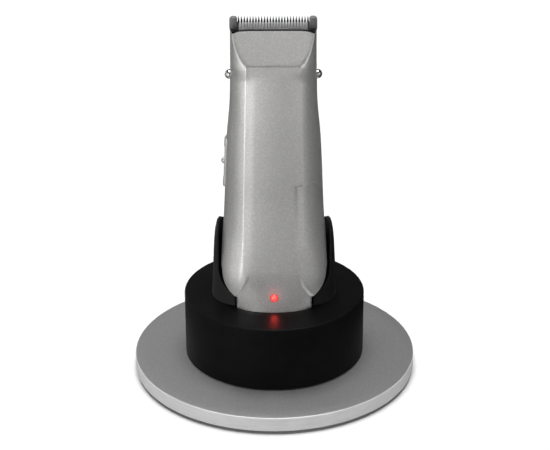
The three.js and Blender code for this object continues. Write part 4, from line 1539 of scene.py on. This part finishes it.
def make_world():
    """A studio: bright on the left, dim behind, with a white ceiling."""
    world = bpy.data.worlds.new("studio")
    world.use_nodes = True
    tree = world.node_tree

    def add(kind, **settings):
        node = tree.nodes.new(kind)
        for key, value in settings.items():
            setattr(node, key, value)
        return node

    def feed(socket, value):
        if isinstance(value, float):
            socket.default_value = value
        else:
            tree.links.new(value, socket)

    def math_node(operation, first, second):
        node = add("ShaderNodeMath", operation=operation)
        for socket, value in zip(node.inputs, (first, second)):
            feed(socket, value)
        return node.outputs["Value"]

    def ramped(value, low_edge, high_edge, high, kind="SMOOTHSTEP"):
        """Rises from nought to the high value between two edges."""
        node = add("ShaderNodeMapRange", interpolation_type=kind)
        settings = (("From Min", low_edge), ("From Max", high_edge), ("To Min", 0.0), ("To Max", high))
        for socket, number in settings:
            node.inputs[socket].default_value = number
        tree.links.new(value, node.inputs["Value"])
        return node.outputs["Result"]

    def mixed(factor, first, second):
        node = add("ShaderNodeMix", data_type="FLOAT")
        for socket, value in zip(("Factor", "A", "B"), (factor, first, second)):
            feed(node.inputs[socket], value)
        return node.outputs["Result"]

    def by_table(value, table):
        node = add("ShaderNodeValToRGB")
        stops = node.color_ramp.elements
        while len(stops) < len(table):
            stops.new(0.5)
        brightest = max(brightness for _, brightness in table)
        for stop, (place, brightness) in zip(stops, table):
            stop.position = place
            stop.color = (*grey(brightness / brightest), 1)
        tree.links.new(value, node.inputs["Fac"])
        return math_node("MULTIPLY", node.outputs["Color"], brightest)

    def by_degrees(table):
        return by_table(round_share, [(degrees / 360 + 0.5, brightness) for degrees, brightness in table])

    coordinates = add("ShaderNodeTexCoord")
    split = add("ShaderNodeSeparateXYZ")
    tree.links.new(coordinates.outputs["Generated"], split.inputs["Vector"])
    left = math_node("MULTIPLY", split.outputs["X"], -1.0)
    ahead = math_node("MULTIPLY", split.outputs["Y"], -1.0)
    turn = math_node("MULTIPLY", math_node("ARCTAN2", left, ahead), 0.5 / math.pi)
    round_share = math_node("ADD", turn, 0.5)
    height = split.outputs["Z"]
    height_share = ramped(height, -1.0, 1.0, 1.0, kind="LINEAR")
    level = math_node("MULTIPLY", by_degrees(STUDIO_RING), by_table(height_share, STUDIO_LOW))
    lamp = math_node("MULTIPLY", by_degrees(STUDIO_LAMP), ramped(height, -0.42, -0.24, 0.55))
    level = math_node("ADD", level, lamp)
    level = mixed(ramped(height, 0.0, 0.35, 1.0), level, by_degrees(STUDIO_UPPER))
    level = mixed(ramped(height, 0.42, 0.6, 1.0), level, STUDIO_HIGH)
    ceiling = math_node("MULTIPLY", ramped(height, 0.88, 0.97, 1.0), STUDIO_CEILING)
    level = math_node("ADD", level, ceiling)
    seen = add("ShaderNodeLightPath").outputs["Is Camera Ray"]
    tree.links.new(mixed(seen, level, 1.0), tree.nodes["Background"].inputs["Strength"])
    tree.nodes["Background"].inputs["Color"].default_value = (1, 1, 1, 1)
    bpy.context.scene.world = world


def dress_cad_nodes():
    """Every CAD node that stays gets the procedural finish of its slot."""
    slots = {part["node"]: part["material_slot"] for part in frame["record"]["subparts"]}
    for name, obj in frame["nodes"].items():
        obj.data.materials.clear()
        obj.data.materials.append(materials[slots[name]])


def main():
    dress_cad_nodes()
    front = make_front_housing()
    make_rear_housing()
    make_plate()
    drum = make_drum()
    make_cradle()
    make_fixed_blade()
    make_moving_blade()
    make_holder()
    make_catch("left", -1)
    make_catch("right", 1)
    make_lens()
    make_switch_plate()
    make_switch_button()
    for node in HOUSING_SCREWS:
        make_screw(node, "trimmer", "y", 1)
    for node in BLADE_SCREWS:
        make_screw(node, "blade_set", "y", 1)
    for number in (1, 2, 3):
        make_screw(f"dock_screw_{number}", "stand", "z", -1)
    make_feet()
    make_jack()
    make_contacts()
    make_battery()
    make_motor()
    make_shaft()
    soften_cad_nodes()
    make_camera()
    make_world()
    make_floor()
    make_rear_light()
    make_glow("light_round_lens", 2.0, 1.0, 3.0, 1.2e-4, front)
    make_glow("light_on_drum", 0.3, 3.4, 1.3, 1.7e-3, drum)
    bpy.context.scene.view_settings.view_transform = "Standard"


main()
